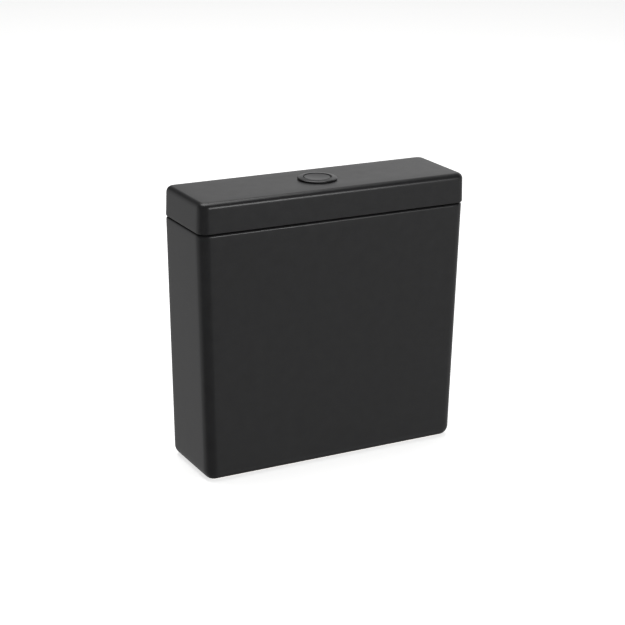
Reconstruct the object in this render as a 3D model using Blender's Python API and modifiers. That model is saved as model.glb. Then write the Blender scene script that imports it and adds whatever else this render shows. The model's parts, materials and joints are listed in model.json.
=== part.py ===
"""Close-coupled toilet cistern: ceramic tank and lift-off lid, push button, flush valve and fill valve.

Units are metres and +Z is up. The origin is the centre of the bounding box on the base plane.
+X runs along the width, -Y is the front and +Y faces the wall. Every position is a world position.
"""

import math

import bmesh
import bpy
from mathutils import Vector

OBJECT_NAME = "toilet_cistern"
GAP = 0.0003  # clearance between pieces that touch
OVERSHOOT = 0.004  # how far a cutter runs past the face it opens

# Ceramic tank
RIM_Z = 0.3155
TANK_HALF_WIDTH_BASE, TANK_HALF_WIDTH_RIM = 0.1758, 0.1838
TANK_FRONT_BASE, TANK_FRONT_RIM = -0.0561, -0.0550
TANK_BACK = 0.0561
TANK_WALL, TANK_BACK_WALL = 0.009, 0.012
TANK_CORNER, TANK_BASE_FILLET, TANK_RIM_FILLET = 0.014, 0.013, 0.003
POCKET_Z, FLOOR_Z = 0.026, 0.040
POCKET_HALF_WIDTH, POCKET_HALF_DEPTH, POCKET_CORNER = 0.148, 0.039, 0.018

# Ceramic lid
LID_HALF_WIDTH, LID_FRONT, LID_BACK = 0.184, -0.0556, 0.0551
LID_Z, LID_TOP_Z, LID_CEILING_Z = 0.3165, 0.3538, 0.344
LID_DRAFT = 0.0010
LID_CORNER, LID_TOP_FILLET, LID_EDGE_FILLET = 0.0125, 0.009, 0.0014
LIP_Z, LIP_CLEARANCE, LIP_WALL = 0.308, 0.0025, 0.007
BUFFER_RADIUS, BUFFER_X, BUFFER_Y, BUFFER_TOP_Z = 0.0026, 0.1786, 0.030, 0.3180

# Shared axes
AXIS_Y = 0.0  # the button, both valves and the coupling bolts stand on this line
FILL_X = -0.118
BOLT_X = 0.075

# Push button
BEZEL_RADIUS, BEZEL_SLEEVE_RADIUS, BUTTON_RADIUS = 0.025, 0.019, 0.0171
BEZEL_Z, BEZEL_TOP_Z, BEZEL_FOOT_Z = 0.3550, 0.3570, 0.326
BUTTON_TOP_Z, BUTTON_STEM_Z = 0.3564, 0.318
LID_HOLE_RADIUS = 0.020
SPRING_RADIUS, SPRING_WIRE, SPRING_TURNS = 0.0105, 0.0007, 5

# Rocking levers and the piece that they lift
LEVER_X, LEVER_Z = 0.020, 0.268
LEVER_INNER, LEVER_OUTER = 0.016, 0.017
LEVER_HALF_HEIGHT, LEVER_WIDTH, LEVER_HUB = 0.003, 0.008, 0.005
PIN_RADIUS = 0.0019
BRIDGE_HALF_GAP, BRIDGE_PLATE, BRIDGE_HALF_WIDTH, BRIDGE_TOP_Z = 0.019, 0.003, 0.027, 0.275

# Flush valve
OUTLET_HOLE_RADIUS, TAIL_RADIUS, OUTLET_RADIUS = 0.031, 0.029, 0.024
SEAT_Z, SEAT_LIP_Z = 0.047, 0.050
TOWER_RADIUS, TOWER_WALL, TOWER_TOP_Z = 0.035, 0.0025, 0.200
TUBE_RADIUS, TUBE_BORE, TUBE_TOP_Z = 0.014, 0.012, 0.246

# Fill valve
INLET_HOLE_RADIUS, INLET_RADIUS, INLET_BORE = 0.0112, 0.0104, 0.005
RISER_RADIUS, RISER_TOP_Z = 0.011, 0.230
HEAD_RADIUS, HEAD_TOP_Z = 0.018, 0.256
FLOAT_RADIUS, FLOAT_Z, FLOAT_TOP_Z = 0.028, 0.140, 0.200
ARM_X, ARM_Z, ARM_LENGTH, ARM_DROP = -0.104, 0.266, 0.039, 0.006
ARM_WIDTH = 0.014
DISCHARGE_X, DISCHARGE_RADIUS = -0.082, 0.006

# Coupling bolts
BOLT_RADIUS, BOLT_HOLE_RADIUS = 0.004, 0.0055

# Colour, roughness, metallic
FINISHES = {
    "black_ceramic": ((0.030, 0.030, 0.031), 0.42, 0.0),
    "black_plastic": ((0.034, 0.034, 0.035), 0.38, 0.0),
    "white_plastic": ((0.78, 0.79, 0.78), 0.45, 0.0),
    "grey_plastic": ((0.30, 0.32, 0.34), 0.5, 0.0),
    "blue_plastic": ((0.04, 0.16, 0.42), 0.45, 0.0),
    "black_rubber": ((0.02, 0.02, 0.02), 0.8, 0.0),
    "red_silicone": ((0.45, 0.06, 0.04), 0.6, 0.0),
    "stainless_steel": ((0.56, 0.56, 0.55), 0.3, 1.0),
    "brass": ((0.70, 0.52, 0.24), 0.32, 1.0),
}


def tank_half_width(z):
    """Half of the tank's outer width at height z."""
    return TANK_HALF_WIDTH_BASE + (TANK_HALF_WIDTH_RIM - TANK_HALF_WIDTH_BASE) * z / RIM_Z


def tank_front(z):
    """Y of the tank's outer front face at height z."""
    return TANK_FRONT_BASE + (TANK_FRONT_RIM - TANK_FRONT_BASE) * z / RIM_Z


# Scene helpers


def new_collection(name):
    collection = bpy.data.collections.new(name)
    bpy.context.scene.collection.children.link(collection)
    return collection


def material(name):
    """The Principled material of one entry of FINISHES, made once."""
    if name in bpy.data.materials:
        return bpy.data.materials[name]
    colour, roughness, metallic = FINISHES[name]
    made = bpy.data.materials.new(name)
    made.use_nodes = True
    shader = made.node_tree.nodes["Principled BSDF"]
    shader.inputs["Base Color"].default_value = (*colour, 1.0)
    shader.inputs["Roughness"].default_value = roughness
    shader.inputs["Metallic"].default_value = metallic
    return made


def add_object(name, data, place, finish):
    """An object in the parts collection, or a hidden cutter where finish is None."""
    obj = bpy.data.objects.new(name, data)
    obj.location = place
    if finish is None:
        CUTTERS.objects.link(obj)
        obj.hide_render = True
        obj.display_type = "WIRE"
    else:
        PARTS.objects.link(obj)
        data.materials.append(material(finish))
    return obj


def add_bmesh(name, shape, place, finish):
    mesh = bpy.data.meshes.new(name)
    shape.to_mesh(mesh)
    shape.free()
    return add_object(name, mesh, place, finish)


def boolean(obj, other, operation):
    modifier = obj.modifiers.new(operation.lower(), "BOOLEAN")
    modifier.operation = operation
    modifier.object = other
    modifier.solver = "EXACT"


def cut(obj, *cutters):
    for cutter in cutters:
        boolean(obj, cutter, "DIFFERENCE")


def join(obj, *others):
    for other in others:
        boolean(obj, other, "UNION")


def smooth(obj, angle=35):
    obj.data.shade_smooth()
    obj.data.set_sharp_from_angle(angle=math.radians(angle))


# Shapes


def block(name, low, high, finish=None):
    """A box between two corners, with its origin at its centre."""
    low, high = Vector(low), Vector(high)
    shape = bmesh.new()
    bmesh.ops.create_cube(shape, size=1.0)
    bmesh.ops.scale(shape, vec=high - low, verts=shape.verts)
    return add_bmesh(name, shape, (low + high) / 2, finish)


def cylinder(name, radius, low_z, high_z, centre, finish=None, sides=24):
    """An upright cylinder round centre (x, y), from low_z to high_z."""
    shape = bmesh.new()
    bmesh.ops.create_cone(
        shape, cap_ends=True, segments=sides, radius1=radius, radius2=radius, depth=high_z - low_z
    )
    return add_bmesh(name, shape, (*centre, (low_z + high_z) / 2), finish)


def cross_cylinder(name, radius, x, z, half_length, finish=None, sides=16):
    """A cylinder that lies along Y through (x, AXIS_Y, z)."""
    shape = bmesh.new()
    bmesh.ops.create_cone(
        shape, cap_ends=True, segments=sides, radius1=radius, radius2=radius, depth=2 * half_length
    )
    obj = add_bmesh(name, shape, (x, AXIS_Y, z), finish)
    obj.rotation_euler.x = math.radians(90)
    return obj


def vessel(name, low, high, corner, fillets, finish=None, segments=6):
    """A tapering box with rounded upright corners and filleted ends.

    low and high are (half width, front y, back y, z); fillets are the radii of the lower and upper
    edges, and 0 leaves an edge sharp.
    """
    shape = bmesh.new()
    bmesh.ops.create_cube(shape, size=2.0)
    for vert in shape.verts:
        half_width, front, back, z = high if vert.co.z > 0 else low
        vert.co = (math.copysign(half_width, vert.co.x), back if vert.co.y > 0 else front, z)
    uprights = [e for e in shape.edges if abs(e.verts[0].co.z - e.verts[1].co.z) > 1e-6]
    bmesh.ops.bevel(shape, geom=uprights, offset=corner, segments=segments, profile=0.5, affect="EDGES")
    for radius, z in zip(fillets, (low[3], high[3])):
        if radius:
            ring = [e for e in shape.edges if all(abs(v.co.z - z) < 1e-6 for v in e.verts)]
            bmesh.ops.bevel(shape, geom=ring, offset=radius, segments=3, profile=0.5, affect="EDGES")
    return add_bmesh(name, shape, (0, 0, 0), finish)


def turned(name, profile, centre, finish=None, sides=24):
    """A solid of revolution round the upright axis through centre (x, y).

    profile is a list of (radius, z) that runs down the outer side. A profile that starts and ends on
    the axis is left open, and any other is closed into a ring.
    """
    shape = bmesh.new()
    points = [shape.verts.new((radius, 0, z)) for radius, z in profile]
    for first, second in zip(points, points[1:]):
        shape.edges.new((first, second))
    if profile[0][0] > 0 or profile[-1][0] > 0:
        shape.edges.new((points[-1], points[0]))
    obj = add_bmesh(name, shape, (*centre, 0), finish)
    screw = obj.modifiers.new("screw", "SCREW")
    screw.steps = screw.render_steps = sides
    screw.use_merge_vertices = True
    screw.merge_threshold = 1e-5
    screw.use_smooth_shade = True
    return obj


def ring(name, inner, outer, low_z, high_z, centre, finish=None, sides=24):
    """A plain washer or short tube."""
    profile = [(outer, high_z), (outer, low_z), (inner, low_z), (inner, high_z)]
    return turned(name, profile, centre, finish, sides)


def nut(name, inner, across_flats, low_z, high_z, centre, finish, sides=6):
    """A nut with flat sides and a round hole."""
    obj = cylinder(name, across_flats / 2 / math.cos(math.pi / sides), low_z, high_z, centre, finish, sides)
    hole = cylinder(name + "_hole", inner, low_z - OVERSHOOT, high_z + OVERSHOOT, centre)
    cut(obj, hole)
    return obj


def mesh_from_curve(name, curve, place, finish):
    """The evaluated mesh of a curve, with its caps welded, as an object."""
    source = bpy.data.objects.new(name + "_curve", curve)
    bpy.context.scene.collection.objects.link(source)
    graph = bpy.context.evaluated_depsgraph_get()
    mesh = bpy.data.meshes.new_from_object(source.evaluated_get(graph))
    bpy.data.objects.remove(source)
    shape = bmesh.new()
    shape.from_mesh(mesh)
    bmesh.ops.remove_doubles(shape, verts=shape.verts, dist=1e-6)
    shape.to_mesh(mesh)
    shape.free()
    mesh.materials.clear()
    mesh.name = name
    return add_object(name, mesh, place, finish)


def poly_curve(name, points, cyclic=False):
    curve = bpy.data.curves.new(name, "CURVE")
    curve.dimensions = "3D"
    spline = curve.splines.new("POLY")
    spline.points.add(len(points) - 1)
    for target, point in zip(spline.points, points):
        target.co = (*point, 1.0)
    spline.use_cyclic_u = cyclic
    return curve


def plate(name, outline, thickness, place, finish=None):
    """A flat outline in the XZ plane round place, thick along Y."""
    curve = poly_curve(name, [(x, z, 0.0) for x, z in outline], cyclic=True)
    curve.dimensions = "2D"
    curve.fill_mode = "BOTH"
    curve.extrude = thickness / 2
    obj = mesh_from_curve(name, curve, place, finish)
    obj.rotation_euler.x = math.radians(90)
    return obj


def arc(centre, radius, start, end, count):
    """Points on an arc, with angles in degrees from +X."""
    steps = [math.radians(start + (end - start) * i / (count - 1)) for i in range(count)]
    return [(centre[0] + radius * math.cos(t), centre[1] + radius * math.sin(t)) for t in steps]


# Ceramic pieces


def cistern_tank():
    """Tapering open vessel with a recess in its base for the couplings."""
    tank = vessel(
        "cistern_tank",
        (TANK_HALF_WIDTH_BASE, TANK_FRONT_BASE, TANK_BACK, 0.0),
        (TANK_HALF_WIDTH_RIM, TANK_FRONT_RIM, TANK_BACK, RIM_Z),
        TANK_CORNER,
        (TANK_BASE_FILLET, TANK_RIM_FILLET),
        "black_ceramic",
        segments=6,
    )
    top = RIM_Z + OVERSHOOT
    sections = [
        (tank_half_width(z) - TANK_WALL, tank_front(z) + TANK_WALL, TANK_BACK - TANK_BACK_WALL, z)
        for z in (FLOOR_Z, top)
    ]
    chamber = vessel("tank_chamber", *sections, TANK_CORNER - TANK_WALL, (0.004, 0))
    pocket_section = (POCKET_HALF_WIDTH, AXIS_Y - POCKET_HALF_DEPTH, AXIS_Y + POCKET_HALF_DEPTH)
    pocket = vessel(
        "base_pocket", (*pocket_section, -OVERSHOOT), (*pocket_section, POCKET_Z), POCKET_CORNER, (0, 0.003)
    )
    holes = [
        cylinder(name, radius, POCKET_Z - OVERSHOOT, FLOOR_Z + OVERSHOOT, (x, AXIS_Y))
        for name, radius, x in (
            ("outlet_hole", OUTLET_HOLE_RADIUS, 0.0),
            ("inlet_hole", INLET_HOLE_RADIUS, FILL_X),
            ("bolt_hole_left", BOLT_HOLE_RADIUS, -BOLT_X),
            ("bolt_hole_right", BOLT_HOLE_RADIUS, BOLT_X),
        )
    ]
    cut(tank, chamber, pocket, *holes)
    smooth(tank)


def buffer_places():
    """Corner name to the (x, y) of its buffer."""
    return {
        "front_left": (-BUFFER_X, -BUFFER_Y),
        "front_right": (BUFFER_X, -BUFFER_Y),
        "back_left": (-BUFFER_X, BUFFER_Y),
        "back_right": (BUFFER_X, BUFFER_Y),
    }


def cistern_lid():
    """Shallow ceramic cap with a locating lip and a round hole for the button."""
    lid = vessel(
        "cistern_lid",
        (LID_HALF_WIDTH, LID_FRONT, LID_BACK, LID_Z),
        (LID_HALF_WIDTH - LID_DRAFT, LID_FRONT + LID_DRAFT, LID_BACK - LID_DRAFT, LID_TOP_Z),
        LID_CORNER,
        (LID_EDGE_FILLET, LID_TOP_FILLET),
        "black_ceramic",
        segments=6,
    )
    inset = TANK_WALL + LIP_CLEARANCE
    lip_back = TANK_BACK - TANK_BACK_WALL - LIP_CLEARANCE
    lip_section = (TANK_HALF_WIDTH_RIM - inset, TANK_FRONT_RIM + inset, lip_back)
    lip = vessel("lid_lip", (*lip_section, LIP_Z), (*lip_section, LID_CEILING_Z), 0.008, (0.0015, 0))
    inner = (lip_section[0] - LIP_WALL, lip_section[1] + LIP_WALL, lip_section[2] - LIP_WALL)
    hollow = vessel("lid_hollow", (*inner, LIP_Z - OVERSHOOT), (*inner, LID_CEILING_Z), 0.006, (0, 0.004))
    hole = cylinder(
        "button_hole",
        LID_HOLE_RADIUS,
        LID_CEILING_Z - OVERSHOOT,
        LID_TOP_Z + OVERSHOOT,
        (0, AXIS_Y),
        sides=40,
    )
    join(lid, lip)
    cut(lid, hollow, hole)
    for x, y in buffer_places().values():
        seat = cylinder("buffer_seat", BUFFER_RADIUS + GAP, LID_Z - OVERSHOOT, BUFFER_TOP_Z + GAP, (x, y))
        cut(lid, seat)
    smooth(lid)


def lid_buffers():
    """Soft studs in seats under the lid's ends, which hold it just off the tank's rim."""
    for corner, centre in buffer_places().items():
        cylinder("lid_buffer_" + corner, BUFFER_RADIUS, RIM_Z + GAP, BUFFER_TOP_Z, centre, "black_rubber", 16)


# Push button


def button_bezel():
    """Round flange with a threaded sleeve that hangs through the lid and ends in a pierced floor."""
    centre = (0, AXIS_Y)
    bore = BUTTON_RADIUS + 0.0004
    floor = BEZEL_FOOT_Z + 0.003
    turned(
        "button_bezel",
        [
            (bore + 0.0008, BEZEL_TOP_Z),
            (BEZEL_RADIUS - 0.0016, BEZEL_TOP_Z),
            (BEZEL_RADIUS - 0.0005, BEZEL_TOP_Z - 0.0005),
            (BEZEL_RADIUS, BEZEL_TOP_Z - 0.0014),
            (BEZEL_RADIUS, BEZEL_Z),
            (BEZEL_SLEEVE_RADIUS, BEZEL_Z),
            (BEZEL_SLEEVE_RADIUS, BEZEL_FOOT_Z),
            (0.0055, BEZEL_FOOT_Z),
            (0.0055, floor),
            (bore, floor),
            (bore, BEZEL_TOP_Z - 0.0007),
        ],
        centre,
        "black_plastic",
        sides=40,
    )
    gasket = BEZEL_RADIUS - 0.001
    ring("bezel_gasket", LID_HOLE_RADIUS, gasket, LID_TOP_Z + GAP, BEZEL_Z - GAP, centre, "black_rubber", 40)
    sleeve = BEZEL_SLEEVE_RADIUS + GAP
    nut("bezel_locknut", sleeve, 0.046, 0.336, LID_CEILING_Z - GAP, centre, "grey_plastic", 8)


def push_button():
    """Round cap on a hollow stem, with its spring, its clip and the rod that works the levers."""
    centre = (0, AXIS_Y)
    crown = BUTTON_TOP_Z - 0.003
    turned(
        "push_button",
        [
            (0, BUTTON_TOP_Z),
            (BUTTON_RADIUS - 0.0030, BUTTON_TOP_Z - 0.0001),
            (BUTTON_RADIUS - 0.0010, BUTTON_TOP_Z - 0.0003),
            (BUTTON_RADIUS, BUTTON_TOP_Z - 0.0013),
            (BUTTON_RADIUS, BUTTON_TOP_Z - 0.012),
            (BUTTON_RADIUS - 0.0018, BUTTON_TOP_Z - 0.012),
            (BUTTON_RADIUS - 0.0018, crown),
            (0.0045, crown),
            (0.0045, BUTTON_STEM_Z),
            (0.0028, BUTTON_STEM_Z),
            (0.0028, BUTTON_STEM_Z + 0.016),
            (0, BUTTON_STEM_Z + 0.016),
        ],
        centre,
        "black_plastic",
        sides=40,
    )
    ring("button_clip", 0.0045 + GAP, 0.0075, 0.3225, BEZEL_FOOT_Z - GAP, centre, "stainless_steel", 24)
    foot = LEVER_Z + LEVER_HALF_HEIGHT + GAP
    turned(
        "push_rod",
        [
            (0, BUTTON_STEM_Z + 0.014),
            (0.0025, BUTTON_STEM_Z + 0.014),
            (0.0025, foot + 0.006),
            (0.008, foot + 0.003),
            (0.008, foot),
            (0, foot),
        ],
        centre,
        "white_plastic",
        sides=24,
    )
    nut("push_rod_nut", 0.0025 + GAP, 0.008, BUTTON_STEM_Z - 0.006, BUTTON_STEM_Z - GAP, centre, "brass")
    button_spring(BEZEL_FOOT_Z + 0.003, crown)


def button_spring(low_z, high_z):
    """Helical wire with a close-wound turn at each end, between the bezel's floor and the cap."""
    start = low_z + GAP + SPRING_WIRE
    rise = high_z - GAP - SPRING_WIRE - start
    closed_turns, closed_pitch = 0.9, 2.3 * SPRING_WIRE
    open_turns = SPRING_TURNS - 2 * closed_turns
    open_pitch = (rise - 2 * closed_turns * closed_pitch) / open_turns
    per_turn = 12
    points = []
    for i in range(SPRING_TURNS * per_turn + 1):
        turns = i / per_turn
        opened = min(max(turns - closed_turns, 0.0), open_turns)
        z = start + open_pitch * opened + closed_pitch * (turns - opened)
        angle = 2 * math.pi * turns
        points.append((SPRING_RADIUS * math.cos(angle), SPRING_RADIUS * math.sin(angle), z))
    curve = poly_curve("button_spring", points)
    curve.bevel_depth = SPRING_WIRE
    curve.bevel_resolution = 2
    curve.use_fill_caps = True
    add_object("button_spring", curve, (0, AXIS_Y, 0), "stainless_steel")


# Flush valve


def flush_valve_body():
    """Seat and threaded tail, sealed above and below the tank's floor."""
    centre = (0, AXIS_Y)
    turned(
        "flush_valve_body",
        [
            (0.027, SEAT_LIP_Z),
            (0.028, SEAT_Z),
            (0.038, SEAT_Z),
            (0.038, 0.043),
            (TAIL_RADIUS, 0.043),
            (TAIL_RADIUS, 0.003),
            (OUTLET_RADIUS, 0.003),
            (OUTLET_RADIUS, SEAT_Z),
            (0.0262, SEAT_LIP_Z),
        ],
        centre,
        "white_plastic",
    )
    ring("flush_valve_washer", TAIL_RADIUS + GAP, 0.038, FLOOR_Z + GAP, 0.043 - GAP, centre, "black_rubber")
    nut("flush_valve_backnut", TAIL_RADIUS + GAP, 0.065, 0.0187, POCKET_Z - GAP, centre, "grey_plastic", 8)
    inner = TAIL_RADIUS + GAP
    turned(
        "coupling_seal",
        [(0.0360, 0.0184), (0.0375, 0.014), (0.0340, 0.0005), (inner, 0.0005), (inner, 0.0184)],
        centre,
        "black_rubber",
    )


def flush_tower():
    """Open cage round the moving tube, and the bridge on top that carries the levers."""
    centre = (0, AXIS_Y)
    inner = TOWER_RADIUS - TOWER_WALL
    tower = ring("flush_tower", inner, TOWER_RADIUS, SEAT_Z + GAP, TOWER_TOP_Z, centre, "white_plastic")
    reach = TOWER_RADIUS + OVERSHOOT
    for name, half_width, low_z, high_z in (
        ("water_window", 0.013, 0.053, 0.090),
        ("upper_window", 0.010, 0.108, 0.186),
    ):
        for suffix, half in (("_x", (reach, half_width)), ("_y", (half_width, reach))):
            opening = block(
                name + suffix, (-half[0], AXIS_Y - half[1], low_z), (half[0], AXIS_Y + half[1], high_z)
            )
            cut(tower, opening)
    low_z, high_z = TOWER_TOP_Z + GAP, TOWER_TOP_Z + 0.004
    bridge = ring("lever_bridge", 0.0155, TOWER_RADIUS, low_z, high_z, centre, "white_plastic")
    for suffix, side in (("front", -1), ("back", 1)):
        near, far = sorted((side * BRIDGE_HALF_GAP, side * (BRIDGE_HALF_GAP + BRIDGE_PLATE)))
        cheek = block(
            "bridge_cheek_" + suffix,
            (-BRIDGE_HALF_WIDTH, AXIS_Y + near, TOWER_TOP_Z + 0.001),
            (BRIDGE_HALF_WIDTH, AXIS_Y + far, BRIDGE_TOP_Z),
        )
        join(bridge, cheek)
    for suffix, side in (("left", -1), ("right", 1)):
        hole = cross_cylinder("pin_hole_" + suffix, PIN_RADIUS + GAP, side * LEVER_X, LEVER_Z, 0.030)
        cut(bridge, hole)


def flush_lever(suffix, side):
    """Rocking lever on its pin: the rod presses the inner end, and the outer end lifts the tube."""
    top, hub = LEVER_HALF_HEIGHT, LEVER_HUB
    spread = math.degrees(math.asin(top / hub))
    tip = 0.8 * top  # the underside tapers a little towards both tips
    outline = [(-LEVER_INNER, top), (-LEVER_INNER, 0.0), (-LEVER_INNER + 0.003, -tip)]
    outline += arc((0, 0), hub, 180 + spread, 360 - spread, 9)
    outline += [(LEVER_OUTER - 0.003, -tip), (LEVER_OUTER, 0.0), (LEVER_OUTER, top)]
    outline = [(side * x, z) for x, z in outline[::side]]
    axis = (side * LEVER_X, AXIS_Y, LEVER_Z)
    lever = plate("flush_lever_" + suffix, outline, LEVER_WIDTH, axis, "blue_plastic")
    hole = cross_cylinder("lever_hole_" + suffix, PIN_RADIUS + GAP, side * LEVER_X, LEVER_Z, LEVER_WIDTH)
    cut(lever, hole)
    reach = BRIDGE_HALF_GAP + BRIDGE_PLATE
    pin = cross_cylinder(
        "lever_pin_" + suffix, PIN_RADIUS, side * LEVER_X, LEVER_Z, reach + 0.002, "stainless_steel"
    )
    head = cross_cylinder("pin_head_" + suffix, 0.0034, side * LEVER_X, LEVER_Z, 0.0009)
    head.location.y = AXIS_Y + reach + GAP + 0.0009
    join(pin, head)


def lifting_tube():
    """Overflow tube that carries the seal at its foot and the yoke that the levers lift."""
    centre = (0, AXIS_Y)
    turned(
        "overflow_tube",
        [
            (TUBE_RADIUS, TUBE_TOP_Z),
            (TUBE_RADIUS, 0.060),
            (0.024, 0.0565),
            (0.026, 0.0534),
            (TUBE_RADIUS, 0.0534),
            (TUBE_RADIUS, 0.0445),
            (TUBE_BORE, 0.0445),
            (TUBE_BORE, TUBE_TOP_Z),
        ],
        centre,
        "grey_plastic",
    )
    ring("valve_seal", TUBE_RADIUS + GAP, 0.0292, SEAT_LIP_Z + GAP, 0.0531, centre, "red_silicone")
    ring("seal_retainer", TUBE_RADIUS + GAP, 0.0215, 0.0455, SEAT_LIP_Z, centre, "grey_plastic")
    turned(
        "flush_float",
        [
            (0.027, 0.136),
            (0.028, 0.134),
            (0.028, 0.100),
            (0.026, 0.100),
            (0.026, 0.133),
            (TUBE_RADIUS + 0.002, 0.133),
            (TUBE_RADIUS + 0.002, 0.096),
            (TUBE_RADIUS + GAP, 0.096),
            (TUBE_RADIUS + GAP, 0.136),
        ],
        centre,
        "blue_plastic",
    )
    yoke = ring("lift_yoke", TUBE_RADIUS + GAP, 0.0168, 0.230, 0.242, centre, "blue_plastic")
    hook_z = LEVER_Z + LEVER_HALF_HEIGHT + GAP
    post_x = LEVER_X + LEVER_OUTER + 0.0016
    for suffix, side in (("left", -1), ("right", 1)):
        for name, inner, outer, low_z, high_z in (
            ("yoke_arm_", 0.0155, post_x + 0.003, 0.233, 0.239),
            ("yoke_post_", post_x, post_x + 0.003, 0.2335, hook_z + 0.0035),
            ("yoke_hook_", LEVER_X + 0.011, post_x + 0.0025, hook_z, hook_z + 0.004),
        ):
            near, far = sorted((side * inner, side * outer))
            half_depth = {"yoke_arm_": 0.0040, "yoke_post_": 0.0045, "yoke_hook_": 0.0050}[name]
            bar = block(name + suffix, (near, AXIS_Y - half_depth, low_z), (far, AXIS_Y + half_depth, high_z))
            join(yoke, bar)


# Fill valve


def fill_valve_body():
    """Threaded inlet tail and riser in one, with its seals, nut and filter."""
    centre = (FILL_X, AXIS_Y)
    turned(
        "fill_valve_body",
        [
            (RISER_RADIUS, RISER_TOP_Z),
            (RISER_RADIUS, 0.050),
            (0.0175, 0.047),
            (0.0175, 0.0425),
            (INLET_RADIUS, 0.0425),
            (INLET_RADIUS, 0.003),
            (INLET_BORE, 0.003),
            (INLET_BORE, RISER_TOP_Z),
        ],
        centre,
        "white_plastic",
    )
    ring("fill_valve_washer", INLET_RADIUS + GAP, 0.017, FLOOR_Z + GAP, 0.0425 - GAP, centre, "black_rubber")
    nut("fill_valve_backnut", INLET_RADIUS + GAP, 0.029, 0.0175, POCKET_Z - GAP, centre, "white_plastic")
    turned(
        "inlet_filter",
        [(0, 0.040), (0.0036, 0.040), (0.0044, 0.0045), (0.0030, 0.0045), (0.0026, 0.038), (0, 0.038)],
        centre,
        "grey_plastic",
        sides=20,
    )


def fill_valve_head():
    """Cap with its diaphragm, the two ears that carry the arm, and the tube that quiets the filling."""
    centre = (FILL_X, AXIS_Y)
    head = turned(
        "fill_valve_head",
        [
            (0, HEAD_TOP_Z),
            (HEAD_RADIUS - 0.002, HEAD_TOP_Z),
            (HEAD_RADIUS, HEAD_TOP_Z - 0.002),
            (HEAD_RADIUS, RISER_TOP_Z - 0.004),
            (RISER_RADIUS + GAP, RISER_TOP_Z - 0.004),
            (RISER_RADIUS + GAP, RISER_TOP_Z + GAP),
            (HEAD_RADIUS - 0.004, RISER_TOP_Z + 0.002),
            (HEAD_RADIUS - 0.004, RISER_TOP_Z + 0.008),
            (0, RISER_TOP_Z + 0.008),
        ],
        centre,
        "white_plastic",
    )
    disc = HEAD_RADIUS - 0.005
    cylinder("valve_diaphragm", disc, RISER_TOP_Z + 0.003, RISER_TOP_Z + 0.006, centre, "black_rubber")
    for suffix, side in (("front", -1), ("back", 1)):
        near, far = sorted((side * (ARM_WIDTH / 2 + 0.0008), side * (ARM_WIDTH / 2 + 0.0038)))
        ear = block(
            "head_ear_" + suffix,
            (ARM_X - 0.0045, AXIS_Y + near, HEAD_TOP_Z - 0.003),
            (ARM_X + 0.0025, AXIS_Y + far, ARM_Z + 0.0045),
        )
        join(head, ear)
    cut(head, cross_cylinder("arm_pin_hole", PIN_RADIUS + GAP, ARM_X, ARM_Z, 0.016))
    cross_cylinder("float_arm_pin", PIN_RADIUS, ARM_X, ARM_Z, ARM_WIDTH / 2 + 0.005, "stainless_steel")
    discharge_tube()


def discharge_tube():
    """Hollow tube from the side of the head down to the bottom of the tank."""
    bend = 0.010
    spout_z = 0.243
    route = [(FILL_X + HEAD_RADIUS + GAP, spout_z)]
    route += arc((DISCHARGE_X - bend, spout_z - bend), bend, 90, 0, 7)
    route += [(DISCHARGE_X, 0.070)]
    points = [(x, 0.0, z) for x, z in route]
    solids = []
    for suffix, radius, extra, finish in (
        ("", DISCHARGE_RADIUS, 0.0, "grey_plastic"),
        ("_bore", 0.0045, 0.002, None),
    ):
        first = (points[0][0] - extra, 0.0, points[0][2])
        last = (points[-1][0], 0.0, points[-1][2] - extra)
        curve = poly_curve("discharge_tube" + suffix, [first, *points[1:-1], last])
        curve.bevel_depth = radius
        curve.bevel_resolution = 3
        curve.use_fill_caps = True
        solids.append(mesh_from_curve("discharge_tube" + suffix, curve, (0, AXIS_Y, 0), finish))
    cut(solids[0], solids[1])
    smooth(solids[0])


def fill_float():
    """Open-bottomed cup that slides on the riser, and the rod that moves the arm."""
    turned(
        "float_cup",
        [
            (FLOAT_RADIUS - 0.002, FLOAT_TOP_Z),
            (FLOAT_RADIUS, FLOAT_TOP_Z - 0.002),
            (FLOAT_RADIUS, FLOAT_Z),
            (FLOAT_RADIUS - 0.002, FLOAT_Z),
            (FLOAT_RADIUS - 0.002, FLOAT_TOP_Z - 0.003),
            (RISER_RADIUS + 0.0028, FLOAT_TOP_Z - 0.003),
            (RISER_RADIUS + 0.0028, FLOAT_Z),
            (RISER_RADIUS + 0.0008, FLOAT_Z),
            (RISER_RADIUS + 0.0008, FLOAT_TOP_Z),
        ],
        (FILL_X, AXIS_Y),
        "blue_plastic",
    )
    rod = (ARM_X - ARM_LENGTH, AXIS_Y)
    cylinder("float_rod", 0.002, FLOAT_TOP_Z + GAP, 0.271, rod, "white_plastic", 16)
    nut_top = ARM_Z - ARM_DROP - LEVER_HALF_HEIGHT - 0.0013
    nut("float_rod_nut", 0.002 + GAP, 0.008, nut_top - 0.005, nut_top, rod, "brass")


def float_arm():
    """Arm that droops to the float rod while the tank is empty."""
    half, hub = LEVER_HALF_HEIGHT, LEVER_HUB - 0.0005
    spread = math.degrees(math.asin(half / hub))
    tip = -ARM_LENGTH - 0.007
    outline = arc((0, 0), hub, 180 - spread, spread - 180, 17)
    outline += [(tip + 0.001, -half), (tip, -half * 0.5), (tip, half * 0.5), (tip + 0.001, half)]
    arm = plate("float_arm", outline, ARM_WIDTH, (ARM_X, AXIS_Y, ARM_Z), "white_plastic")
    droop = math.asin(ARM_DROP / ARM_LENGTH)
    arm.rotation_euler.y = -droop
    pin_hole = cross_cylinder("float_arm_hole", PIN_RADIUS + GAP, ARM_X, ARM_Z, ARM_WIDTH)
    rod_x = ARM_X - ARM_LENGTH * math.cos(droop)
    rod_hole = cylinder("float_rod_hole", 0.0042, 0.248, 0.276, (rod_x, AXIS_Y))
    cut(arm, pin_hole, rod_hole)


# Coupling bolts


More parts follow.
